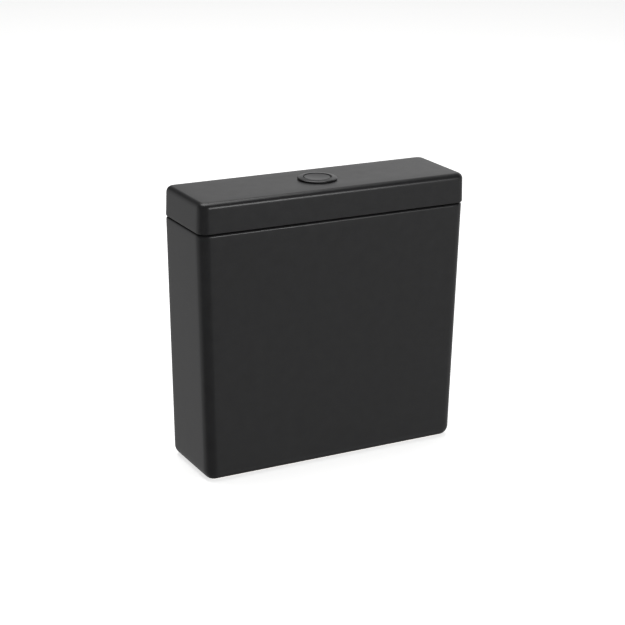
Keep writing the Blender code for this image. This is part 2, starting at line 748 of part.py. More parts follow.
def coupling_bolt(suffix, x):
    """Bolt through the tank's floor, sealed by rubber inside and clamped by a nut below."""
    centre = (x, AXIS_Y)
    shank = BOLT_RADIUS + GAP
    seal_top = FLOOR_Z + 0.0028
    washer_top = seal_top + GAP + 0.0015
    head = washer_top + GAP
    turned(
        "coupling_bolt_" + suffix,
        [
            (0, head + 0.0055),
            (0.005, head + 0.0050),
            (0.0075, head + 0.0030),
            (0.0080, head),
            (BOLT_RADIUS, head),
            (BOLT_RADIUS, 0.004),
            (BOLT_RADIUS - 0.001, 0.003),
            (0, 0.003),
        ],
        centre,
        "stainless_steel",
        sides=24,
    )
    ring("bolt_seal_" + suffix, shank, 0.013, FLOOR_Z + GAP, seal_top, centre, "black_rubber", 24)
    ring("bolt_washer_" + suffix, shank, 0.011, seal_top + GAP, washer_top, centre, "stainless_steel", 24)
    clamp = POCKET_Z - 0.0018
    ring("clamp_washer_" + suffix, shank, 0.012, clamp, POCKET_Z - GAP, centre, "stainless_steel", 24)
    nut("coupling_nut_" + suffix, shank, 0.013, POCKET_Z - 0.0086, POCKET_Z - 0.0021, centre, "brass")


def build():
    cistern_tank()
    cistern_lid()
    lid_buffers()
    button_bezel()
    push_button()
    flush_valve_body()
    flush_tower()
    for suffix, side in (("left", -1), ("right", 1)):
        flush_lever(suffix, side)
        coupling_bolt(suffix, side * BOLT_X)
    lifting_tube()
    fill_valve_body()
    fill_valve_head()
    fill_float()
    float_arm()


for old in list(bpy.data.objects):
    bpy.data.objects.remove(old)
PARTS = new_collection(OBJECT_NAME)
CUTTERS = new_collection("cutters")
build()
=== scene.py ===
"""Looks of a slim close-coupled cistern: matt black glazed ceramic, push button, flush and fill valves.

Units are metres and +Z is up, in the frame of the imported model: +X runs along the width, -Y is the
front and +Y faces the wall. Every surface is a grid of points worked out from a profile or a section,
and every piece sits at the origin with its place in its mesh.
"""

from __future__ import annotations

import json
import logging
import math
from dataclasses import dataclass
from enum import Enum
from typing import Callable, Sequence

import bmesh
import bpy
import numpy as np
from mathutils import Matrix, Vector

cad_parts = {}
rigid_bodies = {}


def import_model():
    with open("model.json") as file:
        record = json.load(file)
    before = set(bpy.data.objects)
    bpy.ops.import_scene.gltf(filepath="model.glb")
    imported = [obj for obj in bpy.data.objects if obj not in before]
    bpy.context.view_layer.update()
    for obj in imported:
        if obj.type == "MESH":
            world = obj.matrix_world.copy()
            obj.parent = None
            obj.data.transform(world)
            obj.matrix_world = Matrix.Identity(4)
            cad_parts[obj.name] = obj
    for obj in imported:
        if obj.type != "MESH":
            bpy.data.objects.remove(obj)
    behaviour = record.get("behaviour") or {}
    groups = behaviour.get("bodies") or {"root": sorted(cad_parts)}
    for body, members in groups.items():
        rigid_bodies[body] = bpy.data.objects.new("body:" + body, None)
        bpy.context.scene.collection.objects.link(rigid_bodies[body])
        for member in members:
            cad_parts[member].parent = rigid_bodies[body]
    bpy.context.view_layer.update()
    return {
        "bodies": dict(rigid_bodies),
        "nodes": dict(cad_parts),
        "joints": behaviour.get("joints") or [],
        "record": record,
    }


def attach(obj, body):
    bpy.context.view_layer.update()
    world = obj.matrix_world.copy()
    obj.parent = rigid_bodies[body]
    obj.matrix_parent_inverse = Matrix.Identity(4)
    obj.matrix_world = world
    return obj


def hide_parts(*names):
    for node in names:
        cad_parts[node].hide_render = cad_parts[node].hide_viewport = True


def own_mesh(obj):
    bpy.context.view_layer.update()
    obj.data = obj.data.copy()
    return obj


LOG = logging.getLogger("cistern")
WELD = 1e-7  # points closer than this are one point
GAP = 0.0003  # clearance that neighbouring pieces keep
OVERSHOOT = 0.004  # how far a cutter runs past the face it opens
FLOOR_CLEARANCE = 0.0002  # the floor lies this far below the base

Corner = tuple[float, float, float]
Span = tuple[float, float]
Piece = bpy.types.Object
Socket = bpy.types.NodeSocket
Tree = bpy.types.NodeTree


# Surfaces


def fillet(corners: Sequence[Corner], closed: bool = True, steps: int = 6) -> np.ndarray:
    """Rounds the corners of a flat outline.

    A corner of radius r is replaced by the arc that touches both of its sides. The arc starts
    r / tan(half angle) from the corner, and its points turn evenly about a centre that lies
    r / sin(half angle) along the bisector.

    Args:
        corners: points as (first coordinate, second coordinate, radius), and radius 0 stays sharp.
        closed: whether the last corner joins the first.
        steps: arc segments at each rounded corner.

    Returns:
        Points of the rounded outline, shape (n, 2).
    """
    points = np.array([corner[:2] for corner in corners], float)
    runs: list[np.ndarray] = []
    for index, (point, corner) in enumerate(zip(points, corners)):
        radius = corner[2]
        if radius <= 0 or (not closed and index in (0, len(points) - 1)):
            runs.append(point[None])
            continue
        before = points[index - 1] - point
        after = points[(index + 1) % len(points)] - point
        before, after = before / np.linalg.norm(before), after / np.linalg.norm(after)
        half = math.acos(float(np.clip(before @ after, -1, 1))) / 2
        bisector = (before + after) / np.linalg.norm(before + after)
        centre = point + bisector * radius / math.sin(half)
        first = (point + before * radius / math.tan(half) - centre) / radius
        last = (point + after * radius / math.tan(half) - centre) / radius
        turn = math.pi - 2 * half
        share = np.linspace(0, 1, steps + 1)[:, None]
        blend = (np.sin((1 - share) * turn) * first + np.sin(share * turn) * last) / math.sin(turn)
        runs.append(centre + radius * blend)
    return np.concatenate(runs)


def grid_piece(name: str, points: np.ndarray, wrap: bool = False, caps: bool = True) -> Piece:
    """Makes a closed mesh object from a grid whose columns run round the piece.

    Face (i, j) joins points (i, j), (i, j+1), (i+1, j+1) and (i+1, j). Points that fall together, as
    at a pole, are welded, and the faces are turned outwards where the enclosed volume is negative.

    Args:
        name: the object's name.
        points: grid of shape (rows, columns, 3).
        wrap: whether the last row joins the first.
        caps: whether an unwrapped grid is closed with a face at each end.

    Returns:
        The new object, shaded smooth.
    """
    rows, columns = points.shape[:2]
    index = np.arange(rows * columns).reshape(rows, columns)
    low = index if wrap else index[:-1]
    high = np.roll(index, -1, axis=0) if wrap else index[1:]
    quads = np.stack([low, np.roll(low, -1, axis=1), np.roll(high, -1, axis=1), high], axis=-1)
    faces = quads.reshape(-1, 4).tolist()
    if caps and not wrap:
        faces += [index[0, ::-1].tolist(), index[-1].tolist()]
    mesh = bpy.data.meshes.new(name)
    mesh.from_pydata(points.reshape(-1, 3), [], faces)
    shape = bmesh.new()
    shape.from_mesh(mesh)
    bmesh.ops.remove_doubles(shape, verts=shape.verts, dist=WELD)
    bmesh.ops.dissolve_degenerate(shape, edges=shape.edges, dist=WELD)
    if shape.calc_volume(signed=True) < 0:
        bmesh.ops.reverse_faces(shape, faces=shape.faces)
    shape.to_mesh(mesh)
    shape.free()
    obj = bpy.data.objects.new(name, mesh)
    bpy.context.scene.collection.objects.link(obj)
    return smooth(obj)


def smooth(obj: Piece, angle: float = 32.0) -> Piece:
    """Shades a piece smooth, except across edges that turn by more than angle degrees."""
    obj.data.shade_smooth()
    obj.data.set_sharp_from_angle(angle=math.radians(angle))
    return obj


def lathe(
    name: str,
    outline: Sequence[Corner],
    centre: Span = (0.0, 0.0),
    sides: int = 96,
    wave: Callable[[np.ndarray, np.ndarray, np.ndarray], np.ndarray] | None = None,
) -> Piece:
    """Turns an outline of (radius, height, corner radius) about an upright axis.

    Point (i, k) is radius_i times (cos, sin) of turn k, at height_i. An outline that starts and ends
    on the axis closes at two poles, and any other outline closes into a ring.

    Args:
        name: the object's name.
        outline: the profile, with the radius of each corner.
        centre: x and y of the axis.
        sides: columns round the axis.
        wave: optional function of radius, height and angle that gives each point's new radius.

    Returns:
        The turned object.
    """
    poles = outline[0][0] == 0 and outline[-1][0] == 0
    profile = fillet(outline, closed=not poles)
    return sweep(name, profile, centre, sides, wave, wrap=not poles)


def sweep(
    name: str,
    profile: np.ndarray,
    centre: Span,
    sides: int,
    wave: Callable[[np.ndarray, np.ndarray, np.ndarray], np.ndarray] | None = None,
    wrap: bool = True,
) -> Piece:
    """Carries a ready profile of (radius, height) round an upright axis, as lathe does."""
    angle = np.linspace(0, 2 * math.pi, sides, endpoint=False)[None, :]
    radius = np.repeat(profile[:, :1], sides, axis=1)
    height = np.repeat(profile[:, 1:2], sides, axis=1)
    if wave is not None:
        radius = wave(radius, height, angle)
    x, y = centre[0] + radius * np.cos(angle), centre[1] + radius * np.sin(angle)
    return grid_piece(name, np.stack([x, y, height], axis=-1), wrap=wrap, caps=False)


def thread(crest: float, depth: float, pitch: float, low: float, high: float) -> Callable[..., np.ndarray]:
    """Radius function of a screw thread on the stretch from low to high.

    The radius drops from the crest by depth times a triangle wave of height / pitch less the turn,
    and the drop fades over one pitch at both ends.
    """

    def shape(radius: np.ndarray, height: np.ndarray, angle: np.ndarray) -> np.ndarray:
        """New radius of each point of the thread."""
        phase = height / pitch - angle / (2 * math.pi)
        wave = 2 * np.abs(phase - np.floor(phase + 0.5))
        fade = np.clip(np.minimum(height - low, high - height) / pitch, 0, 1)
        return np.where(np.abs(radius - crest) < WELD, radius - depth * wave * fade, radius)

    return shape


def stepped(outline: np.ndarray, longest: float) -> np.ndarray:
    """Adds points to an outline until no stretch is longer than a given length."""
    runs = []
    for start, end in zip(outline, np.roll(outline, -1, axis=0)):
        count = max(1, math.ceil(float(np.linalg.norm(end - start)) / longest))
        runs.append(start + (end - start) * (np.arange(count) / count)[:, None])
    return np.concatenate(runs)


@dataclass(frozen=True)
class RectPattern:
    """How the points of a rounded rectangle follow its sides and corners."""

    arc_steps: int = 12
    long_steps: int = 48
    short_steps: int = 16

    def rows(self) -> np.ndarray:
        """Rows of (side x, arc x, side y, arc y), anticlockwise from the right-hand end of the back."""
        arcs = []
        for side_x, side_y, start in ((1, 1, 0), (-1, 1, 90), (-1, -1, 180), (1, -1, 270)):
            angle = np.radians(start + np.linspace(0, 90, self.arc_steps + 1))
            ones = np.ones_like(angle)
            arcs.append(np.stack([side_x * ones, np.cos(angle), side_y * ones, np.sin(angle)], axis=1))
        runs = []
        for index, arc in enumerate(arcs):
            steps = self.short_steps if index % 2 else self.long_steps
            straight = np.linspace(arc[-1], arcs[(index + 1) % 4][0], steps + 1)[1:-1]
            runs += [arc, straight]
        return np.concatenate(runs)


@dataclass(frozen=True)
class Section:
    """A rounded rectangle at one height, which can be set in or out by a margin."""

    half_width: float
    front: float
    back: float
    corner: float

    def inset(self, margin: np.ndarray | float, height: np.ndarray | float) -> np.ndarray:
        """Stations of (height, half width, front, back, corner) set in by margin at height."""
        margin, height = np.broadcast_arrays(np.atleast_1d(margin), np.atleast_1d(height))
        corner = np.maximum(self.corner - margin, 0.0008)
        return np.stack(
            [height, self.half_width - margin, self.front + margin, self.back - margin, corner], axis=1
        )


def loops(stations: np.ndarray) -> np.ndarray:
    """Point loops of rounded rectangles.

    x is side x times (half width - corner) plus arc x times corner, and y likewise about the middle
    of front and back.

    Args:
        stations: rows of (height, half width, front, back, corner).

    Returns:
        Grid of shape (stations, points round, 3).
    """
    side_x, arc_x, side_y, arc_y = PATTERN.rows().T
    height, half_width, front, back, corner = (column[:, None] for column in stations.T)
    middle, half_depth = (front + back) / 2, (back - front) / 2
    x = side_x * (half_width - corner) + arc_x * corner
    y = middle + side_y * (half_depth - corner) + arc_y * corner
    return np.stack([x, y, np.broadcast_to(height, x.shape)], axis=-1)


def circles(radii: np.ndarray | float, heights: np.ndarray | float, centre: Span) -> np.ndarray:
    """Loops round a circle, with as many evenly turned points as a rounded rectangle has."""
    radii, heights = np.broadcast_arrays(np.atleast_1d(radii), np.atleast_1d(heights))
    count = len(PATTERN.rows())
    angle = math.radians(12) + np.linspace(0, 2 * math.pi, count, endpoint=False)[None, :]
    x = centre[0] + radii[:, None] * np.cos(angle)
    y = centre[1] + radii[:, None] * np.sin(angle)
    return np.stack([x, y, np.broadcast_to(heights[:, None], x.shape)], axis=-1)


def between(first: np.ndarray, last: np.ndarray, steps: int) -> np.ndarray:
    """Loops that pass evenly from one loop to another, without either end."""
    share = np.linspace(0, 1, steps + 1)[1:-1, None, None]
    return first + (last - first) * share


def quarter(radius: float, steps: int = 7) -> tuple[np.ndarray, np.ndarray]:
    """Run and rise of a quarter round: radius times 1 - cos t, and radius times sin t."""
    turn = np.linspace(0, math.pi / 2, steps + 1)
    return radius * (1 - np.cos(turn)), radius * np.sin(turn)


def boolean(obj: Piece, others: Sequence[Piece], operation: str) -> Piece:
    """Applies Boolean modifiers to a piece and removes the other objects."""
    for other in others:
        modifier = obj.modifiers.new("boolean", "BOOLEAN")
        modifier.operation, modifier.object, modifier.solver = operation, other, "MANIFOLD"
    graph = bpy.context.evaluated_depsgraph_get()
    mesh = bpy.data.meshes.new_from_object(obj.evaluated_get(graph))
    obj.modifiers.clear()
    obj.data = mesh
    for other in others:
        bpy.data.objects.remove(other)
    return smooth(obj)


def rod(
    name: str, radius: float, low: float, high: float, centre: Span, edge: float = 0.0
) -> Piece:
    """An upright round bar, as a cutter or a pin."""
    outline = [(0, high, 0), (radius, high, edge), (radius, low, edge), (0, low, 0)]
    return lathe(name, outline, centre, 64)


def ribs(edge: float, height: float, count: int) -> Callable[..., np.ndarray]:
    """Radius function of grip ribs: points as far out as edge swell by height times a raised cosine."""

    def shape(radius: np.ndarray, _height: np.ndarray, angle: np.ndarray) -> np.ndarray:
        """New radius of each point of the grip."""
        swell = height * (0.5 + 0.5 * np.cos(count * angle)) ** 2
        return np.where(radius > edge - 0.0012, radius + swell - height * 0.5, radius)

    return shape


def hex_nut(
    name: str, bore: float, across: float, low: float, high: float, centre: Span = (0.0, 0.0), sides: int = 6
) -> Piece:
    """Chamfered nut: its outer radius is apothem / cos(angle from the nearest flat's middle)."""
    apothem = across / 2
    reach = apothem / math.cos(math.pi / sides)
    chamfer = 0.3 * (reach - apothem) + 0.0004

    def flats(radius: np.ndarray, _height: np.ndarray, angle: np.ndarray) -> np.ndarray:
        """New radius of each point, held inside the flats."""
        step = 2 * math.pi / sides
        limit = apothem / np.cos((angle + step / 2) % step - step / 2)
        return np.minimum(radius, limit)

    outline = [
        (reach - chamfer * 1.6, high, 0),
        (reach, high - chamfer, 0),
        (reach, low + chamfer, 0),
        (reach - chamfer * 1.6, low, 0),
        (bore + 0.0003, low, 0),
        (bore, low + 0.0003, 0),
        (bore, high - 0.0003, 0),
        (bore + 0.0003, high, 0),
    ]
    return smooth(lathe(name, outline, centre, sides * 16, flats), 20)


# Shared small shapes


def washer(
    name: str, inner: float, outer: float, low: float, high: float, centre: Span, edge: float
) -> Piece:
    """A flat ring with rounded edges."""
    outline = [(outer, high, edge), (outer, low, edge), (inner, low, edge), (inner, high, edge)]
    return lathe(name, outline, centre)


def slab(
    name: str, outline: Sequence[Corner], thickness: float, edge: float, frame_axes: Matrix, steps: int = 4
) -> Piece:
    """A plate of flat outline whose two rims are rounded.

    Loop k of the plate is the outline drawn in along its own normals by edge * (1 - cos t) at depth
    edge * sin t, first round one rim and then round the other.

    Args:
        name: the object's name.
        outline: corners as (first coordinate, second coordinate, corner radius).
        thickness: the plate's thickness, centred on the outline's plane.
        edge: radius of both rims.
        frame_axes: matrix that carries (first, second, depth) to the frame.
        steps: segments round each rim.

    Returns:
        The plate.
    """
    flat = fillet(outline)
    ahead, behind = np.roll(flat, -1, axis=0) - flat, flat - np.roll(flat, 1, axis=0)
    area = np.sum(flat[:, 0] * np.roll(flat[:, 1], -1) - flat[:, 1] * np.roll(flat[:, 0], -1))
    turn = np.array([[0.0, 1.0], [-1.0, 0.0]]) * np.sign(area)
    first = (ahead / np.linalg.norm(ahead, axis=1, keepdims=True)) @ turn.T
    second = (behind / np.linalg.norm(behind, axis=1, keepdims=True)) @ turn.T
    normal = first + second
    normal /= np.maximum(np.sum(normal * first, axis=1, keepdims=True), 0.2)
    run, rise = quarter(edge, steps)
    inset = np.concatenate([run[::-1], run])
    depth = np.concatenate([edge - rise[::-1] - thickness / 2, thickness / 2 - edge + rise])
    rings = flat[None] - normal[None] * inset[:, None, None]
    depths = np.broadcast_to(depth[:, None, None], (*rings.shape[:2], 1))
    points = np.concatenate([rings, depths], axis=2)
    carried = points @ np.array(frame_axes.to_3x3()).T + np.array(frame_axes.translation)
    return grid_piece(name, carried)


def upright(x: float, y: float, z: float, tilt: float = 0.0) -> Matrix:
    """Axes of a plate that stands in the XZ plane through a point, tilted about Y."""
    axes = Matrix(((1, 0, 0), (0, 0, -1), (0, 1, 0))).to_4x4()
    return Matrix.Translation((x, y, z)) @ Matrix.Rotation(tilt, 4, "Y") @ axes


def turned_across(name: str, profile: np.ndarray, x: float, z: float, sides: int) -> Piece:
    """Turns a profile of (radius, y) about an axis along Y that passes through x and z."""
    angle = np.linspace(0, 2 * math.pi, sides, endpoint=False)[None]
    radii, along = profile[:, :1], profile[:, 1:]
    points = np.stack([x + radii * np.cos(angle), along + 0 * angle, z + radii * np.sin(angle)], axis=-1)
    return grid_piece(name, points, caps=False)


def cross_pin(name: str, radius: float, x: float, z: float, low_y: float, high_y: float) -> Piece:
    """A round pin along Y with chamfered ends."""
    ends = np.array([low_y, low_y, low_y + 0.0004, high_y - 0.0004, high_y, high_y])
    radii = radius * np.array([0.0, 0.8, 1.0, 1.0, 0.8, 0.0])
    return turned_across(name, np.stack([radii, ends], axis=1), x, z, 40)


def cuboid(low: Corner, high: Corner, edge: float, name: str = "bar") -> Piece:
    """A bar between two corners, with its upright corners and both ends rounded by edge."""
    (x0, y0, z0), (x1, y1, z1) = low, high
    corners = [(x0, y0, edge), (x1, y0, edge), (x1, y1, edge), (x0, y1, edge)]
    return slab(name, corners, z1 - z0, edge, Matrix.Translation((0, 0, (z0 + z1) / 2)))


# Finishes


def linear(hex_colour: str) -> tuple[float, float, float, float]:
    """Turns an sRGB hex colour to linear values: each channel over 0.04045 is ((c + 0.055) / 1.055) ^ 2.4."""
    channels = [int(hex_colour[place : place + 2], 16) / 255 for place in (1, 3, 5)]
    values = [c / 12.92 if c <= 0.04045 else ((c + 0.055) / 1.055) ** 2.4 for c in channels]
    return (*values, 1.0)


def add_node(tree: Tree, kind: str, links: dict | None = None, **settings) -> bpy.types.Node:
    """Adds a node with its settings and links.

    Args:
        tree: the node tree that takes it.
        kind: the node's type.
        links: socket name or number to a value, or to the output socket that feeds it.
        settings: the node's own properties.

    Returns:
        The new node.
    """
    made = tree.nodes.new(kind)
    for key, value in settings.items():
        setattr(made, key, value)
    for key, value in (links or {}).items():
        if isinstance(value, Socket):
            tree.links.new(value, made.inputs[key])
        else:
            made.inputs[key].default_value = value
    return made


class Lay(Enum):
    """Direction of a surface's fine marks, as stretch along x, y and z."""

    EVEN = (1.0, 1.0, 1.0)
    TURNED = (0.06, 0.06, 1.0)
    DRAWN = (1.0, 1.0, 0.05)


@dataclass(frozen=True)
class Finish:
    """A real material, with the marks that its making leaves at their real size in millimetres."""

    name: str
    slot: str
    colour: str
    second_colour: str
    roughness: float
    roughness_spread: float
    grain_mm: float
    grain_height_mm: float
    wave_mm: float
    wave_height_mm: float
    ior: float = 1.5
    metallic: float = 0.0
    lay: Lay = Lay.EVEN
    specks: bool = False
    bare_foot: str | None = None

    def material(self) -> bpy.types.Material:
        """The material, made once and shared by all of its pieces."""
        made = bpy.data.materials.get(self.name)
        if made is None:
            made = bpy.data.materials.new(self.name)
            made.use_nodes = True
            self.wire(made.node_tree)
        return made

    def wire(self, tree: Tree) -> None:
        """Links the colour, roughness and relief patterns to the shader."""
        shader = tree.nodes["Principled BSDF"]
        shader.inputs["IOR"].default_value = self.ior
        shader.inputs["Metallic"].default_value = self.metallic
        place = add_node(tree, "ShaderNodeTexCoord").outputs["Object"]
        laid = add_node(tree, "ShaderNodeMapping", {"Vector": place, "Scale": self.lay.value}).outputs[0]
        wave = self.noise(tree, place, self.wave_mm, 2.0)
        grain = self.noise(tree, laid, self.grain_mm, 5.0)
        patchy = add_node(tree, "ShaderNodeMath", {0: wave, 1: grain}, operation="ADD").outputs[0]
        share = add_node(
            tree, "ShaderNodeMapRange", {"Value": patchy, "From Min": 0.7, "From Max": 1.3}
        ).outputs[0]
        colour = add_node(
            tree,
            "ShaderNodeMix",
            {"Factor": share, 6: linear(self.colour), 7: linear(self.second_colour)},
            data_type="RGBA",
        ).outputs[2]
        roughness = add_node(
            tree,
            "ShaderNodeMapRange",
            {
                "Value": patchy,
                "From Min": 0.6,
                "From Max": 1.4,
                "To Min": self.roughness - self.roughness_spread,
                "To Max": self.roughness + self.roughness_spread,
            },
        ).outputs[0]
        if self.specks:
            colour, roughness = self.add_specks(tree, place, colour, roughness)
        if self.bare_foot:
            colour, roughness = self.add_bare_foot(tree, place, grain, colour, roughness)
        tree.links.new(colour, shader.inputs["Base Color"])
        tree.links.new(roughness, shader.inputs["Roughness"])
        tree.links.new(self.relief(tree, wave, grain), shader.inputs["Normal"])

    def noise(
        self, tree: Tree, place: Socket, size_mm: float, detail: float
    ) -> Socket:
        """Noise whose features are size_mm across: its scale is the number of them in a metre."""
        links = {"Vector": place, "Scale": 1000 / size_mm, "Detail": detail, "Roughness": 0.55}
        return add_node(tree, "ShaderNodeTexNoise", links).outputs[0]

    def relief(
        self, tree: Tree, wave: Socket, grain: Socket
    ) -> Socket:
        """Two bumps in a chain, the broad one first, each at its real height."""
        broad = add_node(
            tree, "ShaderNodeBump", {"Height": wave, "Distance": self.wave_height_mm / 1000, "Strength": 1.0}
        ).outputs[0]
        return add_node(
            tree,
            "ShaderNodeBump",
            {"Height": grain, "Distance": self.grain_height_mm / 1000, "Strength": 1.0, "Normal": broad},
        ).outputs[0]

    def add_specks(
        self,
        tree: Tree,
        place: Socket,
        colour: Socket,
        roughness: Socket,
    ) -> tuple[Socket, Socket]:
        """Sparse pinholes in the glaze, half a millimetre across, a little paler and rougher."""
        cells = add_node(
            tree, "ShaderNodeTexVoronoi", {"Vector": place, "Scale": 1000 / SPECK_SPACING_MM}, feature="F1"
        ).outputs["Distance"]
        dot = add_node(
            tree,
            "ShaderNodeMapRange",
            {"Value": cells, "From Min": SPECK_SHARE, "From Max": SPECK_SHARE * 0.5, "To Max": 1.0},
        ).outputs[0]
        paler = add_node(
            tree, "ShaderNodeMix", {"Factor": dot, 6: colour, 7: linear("#3a3a3c")}, data_type="RGBA"
        ).outputs[2]
        rougher = add_node(
            tree, "ShaderNodeMath", {0: dot, 1: 0.15, 2: roughness}, operation="MULTIPLY_ADD"
        ).outputs[0]
        return paler, rougher

    def add_bare_foot(
        self,
        tree: Tree,
        place: Socket,
        grain: Socket,
        colour: Socket,
        roughness: Socket,
    ) -> tuple[Socket, Socket]:
        """Leaves the flat foot bare, because the glaze is wiped off where a piece stands in the kiln."""
        height = add_node(tree, "ShaderNodeSeparateXYZ", {0: place}).outputs["Z"]
        edge = add_node(
            tree, "ShaderNodeMath", {0: grain, 1: FOOT_HEIGHT, 2: FOOT_HEIGHT / 2}, operation="MULTIPLY_ADD"
        ).outputs[0]
        bare = add_node(tree, "ShaderNodeMath", {0: height, 1: edge}, operation="LESS_THAN").outputs[0]
        body = add_node(
            tree, "ShaderNodeMix", {"Factor": bare, 6: colour, 7: linear(self.bare_foot)}, data_type="RGBA"
        ).outputs[2]
        rough = add_node(
            tree, "ShaderNodeMix", {"Factor": bare, 2: roughness, 3: 0.85}, data_type="FLOAT"
        ).outputs[0]
        return body, rough


SPECK_SPACING_MM, SPECK_SHARE = 9.0, 0.035
FOOT_HEIGHT = 0.0005

# Vitreous china under a matt black glaze, fired at 1200 C: faint orange peel a few millimetres across,
# a silky broad reflection, pinholes, and a bare biscuit foot.
GLAZED_CHINA = Finish(
    "matt_black_glazed_china", "black_ceramic", "#1f1f20", "#242425", 0.32, 0.03,
    grain_mm=1.6, grain_height_mm=0.004, wave_mm=14.0, wave_height_mm=0.02,
    specks=True, bare_foot="#b9b2a6",
)  # fmt: skip
# Injection-moulded ABS with a satin black skin: an even fine spark texture from the mould.
SATIN_BLACK_ABS = Finish(
    "moulded_black_abs", "black_plastic", "#1c1c1e", "#212123", 0.30, 0.03,
    grain_mm=0.5, grain_height_mm=0.002, wave_mm=9.0, wave_height_mm=0.006, ior=1.54,
)  # fmt: skip
# Moulded POM for the valve bodies: waxy off-white with a smooth mould skin.
WHITE_POM = Finish(
    "moulded_white_pom", "white_plastic", "#dcddd8", "#d2d3cd", 0.38, 0.05,
    grain_mm=0.8, grain_height_mm=0.003, wave_mm=12.0, wave_height_mm=0.015, ior=1.48,
)  # fmt: skip
# Moulded polypropylene in mid grey: slightly greasy sheen with faint flow lines.
GREY_PP = Finish(
    "moulded_grey_polypropylene", "grey_plastic", "#8f9499", "#858a90", 0.44, 0.05,
    grain_mm=0.9, grain_height_mm=0.004, wave_mm=11.0, wave_height_mm=0.02, ior=1.49,
)  # fmt: skip
# Moulded polypropylene coloured blue, for the pieces that move.
BLUE_PP = Finish(
    "moulded_blue_polypropylene", "blue_plastic", "#37709f", "#2f6794", 0.42, 0.05,
    grain_mm=0.9, grain_height_mm=0.004, wave_mm=11.0, wave_height_mm=0.02, ior=1.49,
)  # fmt: skip
# Compression-moulded EPDM: dull black with a grey bloom in patches.
EPDM_RUBBER = Finish(
    "moulded_epdm_rubber", "black_rubber", "#1d1d1e", "#2e2e2f", 0.74, 0.08,
    grain_mm=0.7, grain_height_mm=0.01, wave_mm=6.0, wave_height_mm=0.03, ior=1.52,
)  # fmt: skip
# Liquid silicone rubber: soft brick red, slightly translucent at the edge, fine matt skin.
RED_SILICONE = Finish(
    "moulded_red_silicone", "red_silicone", "#b4483a", "#a83f32", 0.52, 0.05,
    grain_mm=0.8, grain_height_mm=0.005, wave_mm=7.0, wave_height_mm=0.02, ior=1.41,
)  # fmt: skip
# Cold-drawn and turned stainless steel: fine rings left by the tool.
TURNED_STAINLESS = Finish(
    "turned_stainless_steel", "stainless_steel", "#c4c3bf", "#b3b2ae", 0.28, 0.06,
    grain_mm=0.35, grain_height_mm=0.004, wave_mm=8.0, wave_height_mm=0.004, metallic=1.0, lay=Lay.TURNED,
)  # fmt: skip
# Hard-drawn spring wire: marks along the wire, a little duller.
SPRING_STEEL = Finish(
    "drawn_spring_steel", "stainless_steel", "#b9b8b4", "#a6a5a1", 0.34, 0.06,
    grain_mm=0.4, grain_height_mm=0.003, wave_mm=5.0, wave_height_mm=0.004, metallic=1.0, lay=Lay.DRAWN,
)  # fmt: skip
# Turned brass with a light brown tarnish in patches.
TURNED_BRASS = Finish(
    "turned_brass", "brass", "#c8a457", "#a98743", 0.30, 0.08,
    grain_mm=0.35, grain_height_mm=0.004, wave_mm=4.0, wave_height_mm=0.004, metallic=1.0, lay=Lay.TURNED,
)  # fmt: skip
PATTERN = RectPattern()


def place_piece(obj: Piece, finish: Finish, body: str, *nodes: str) -> Piece:
    """Dresses a finished piece, hangs it on its body and lets it stand for its CAD nodes.

    Args:
        obj: the finished piece.
        finish: the material it takes.
        body: the CAD body that it rides on.
        nodes: the CAD nodes that it replaces.

    Returns:
        The same piece.
    """
    obj.data.materials.clear()
    obj.data.materials.append(finish.material())
    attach(obj, body)
    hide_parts(*nodes)
    LOG.info("%s rides on %s: %d faces", obj.name, body, len(obj.data.polygons))
    return obj


# Ceramic shells


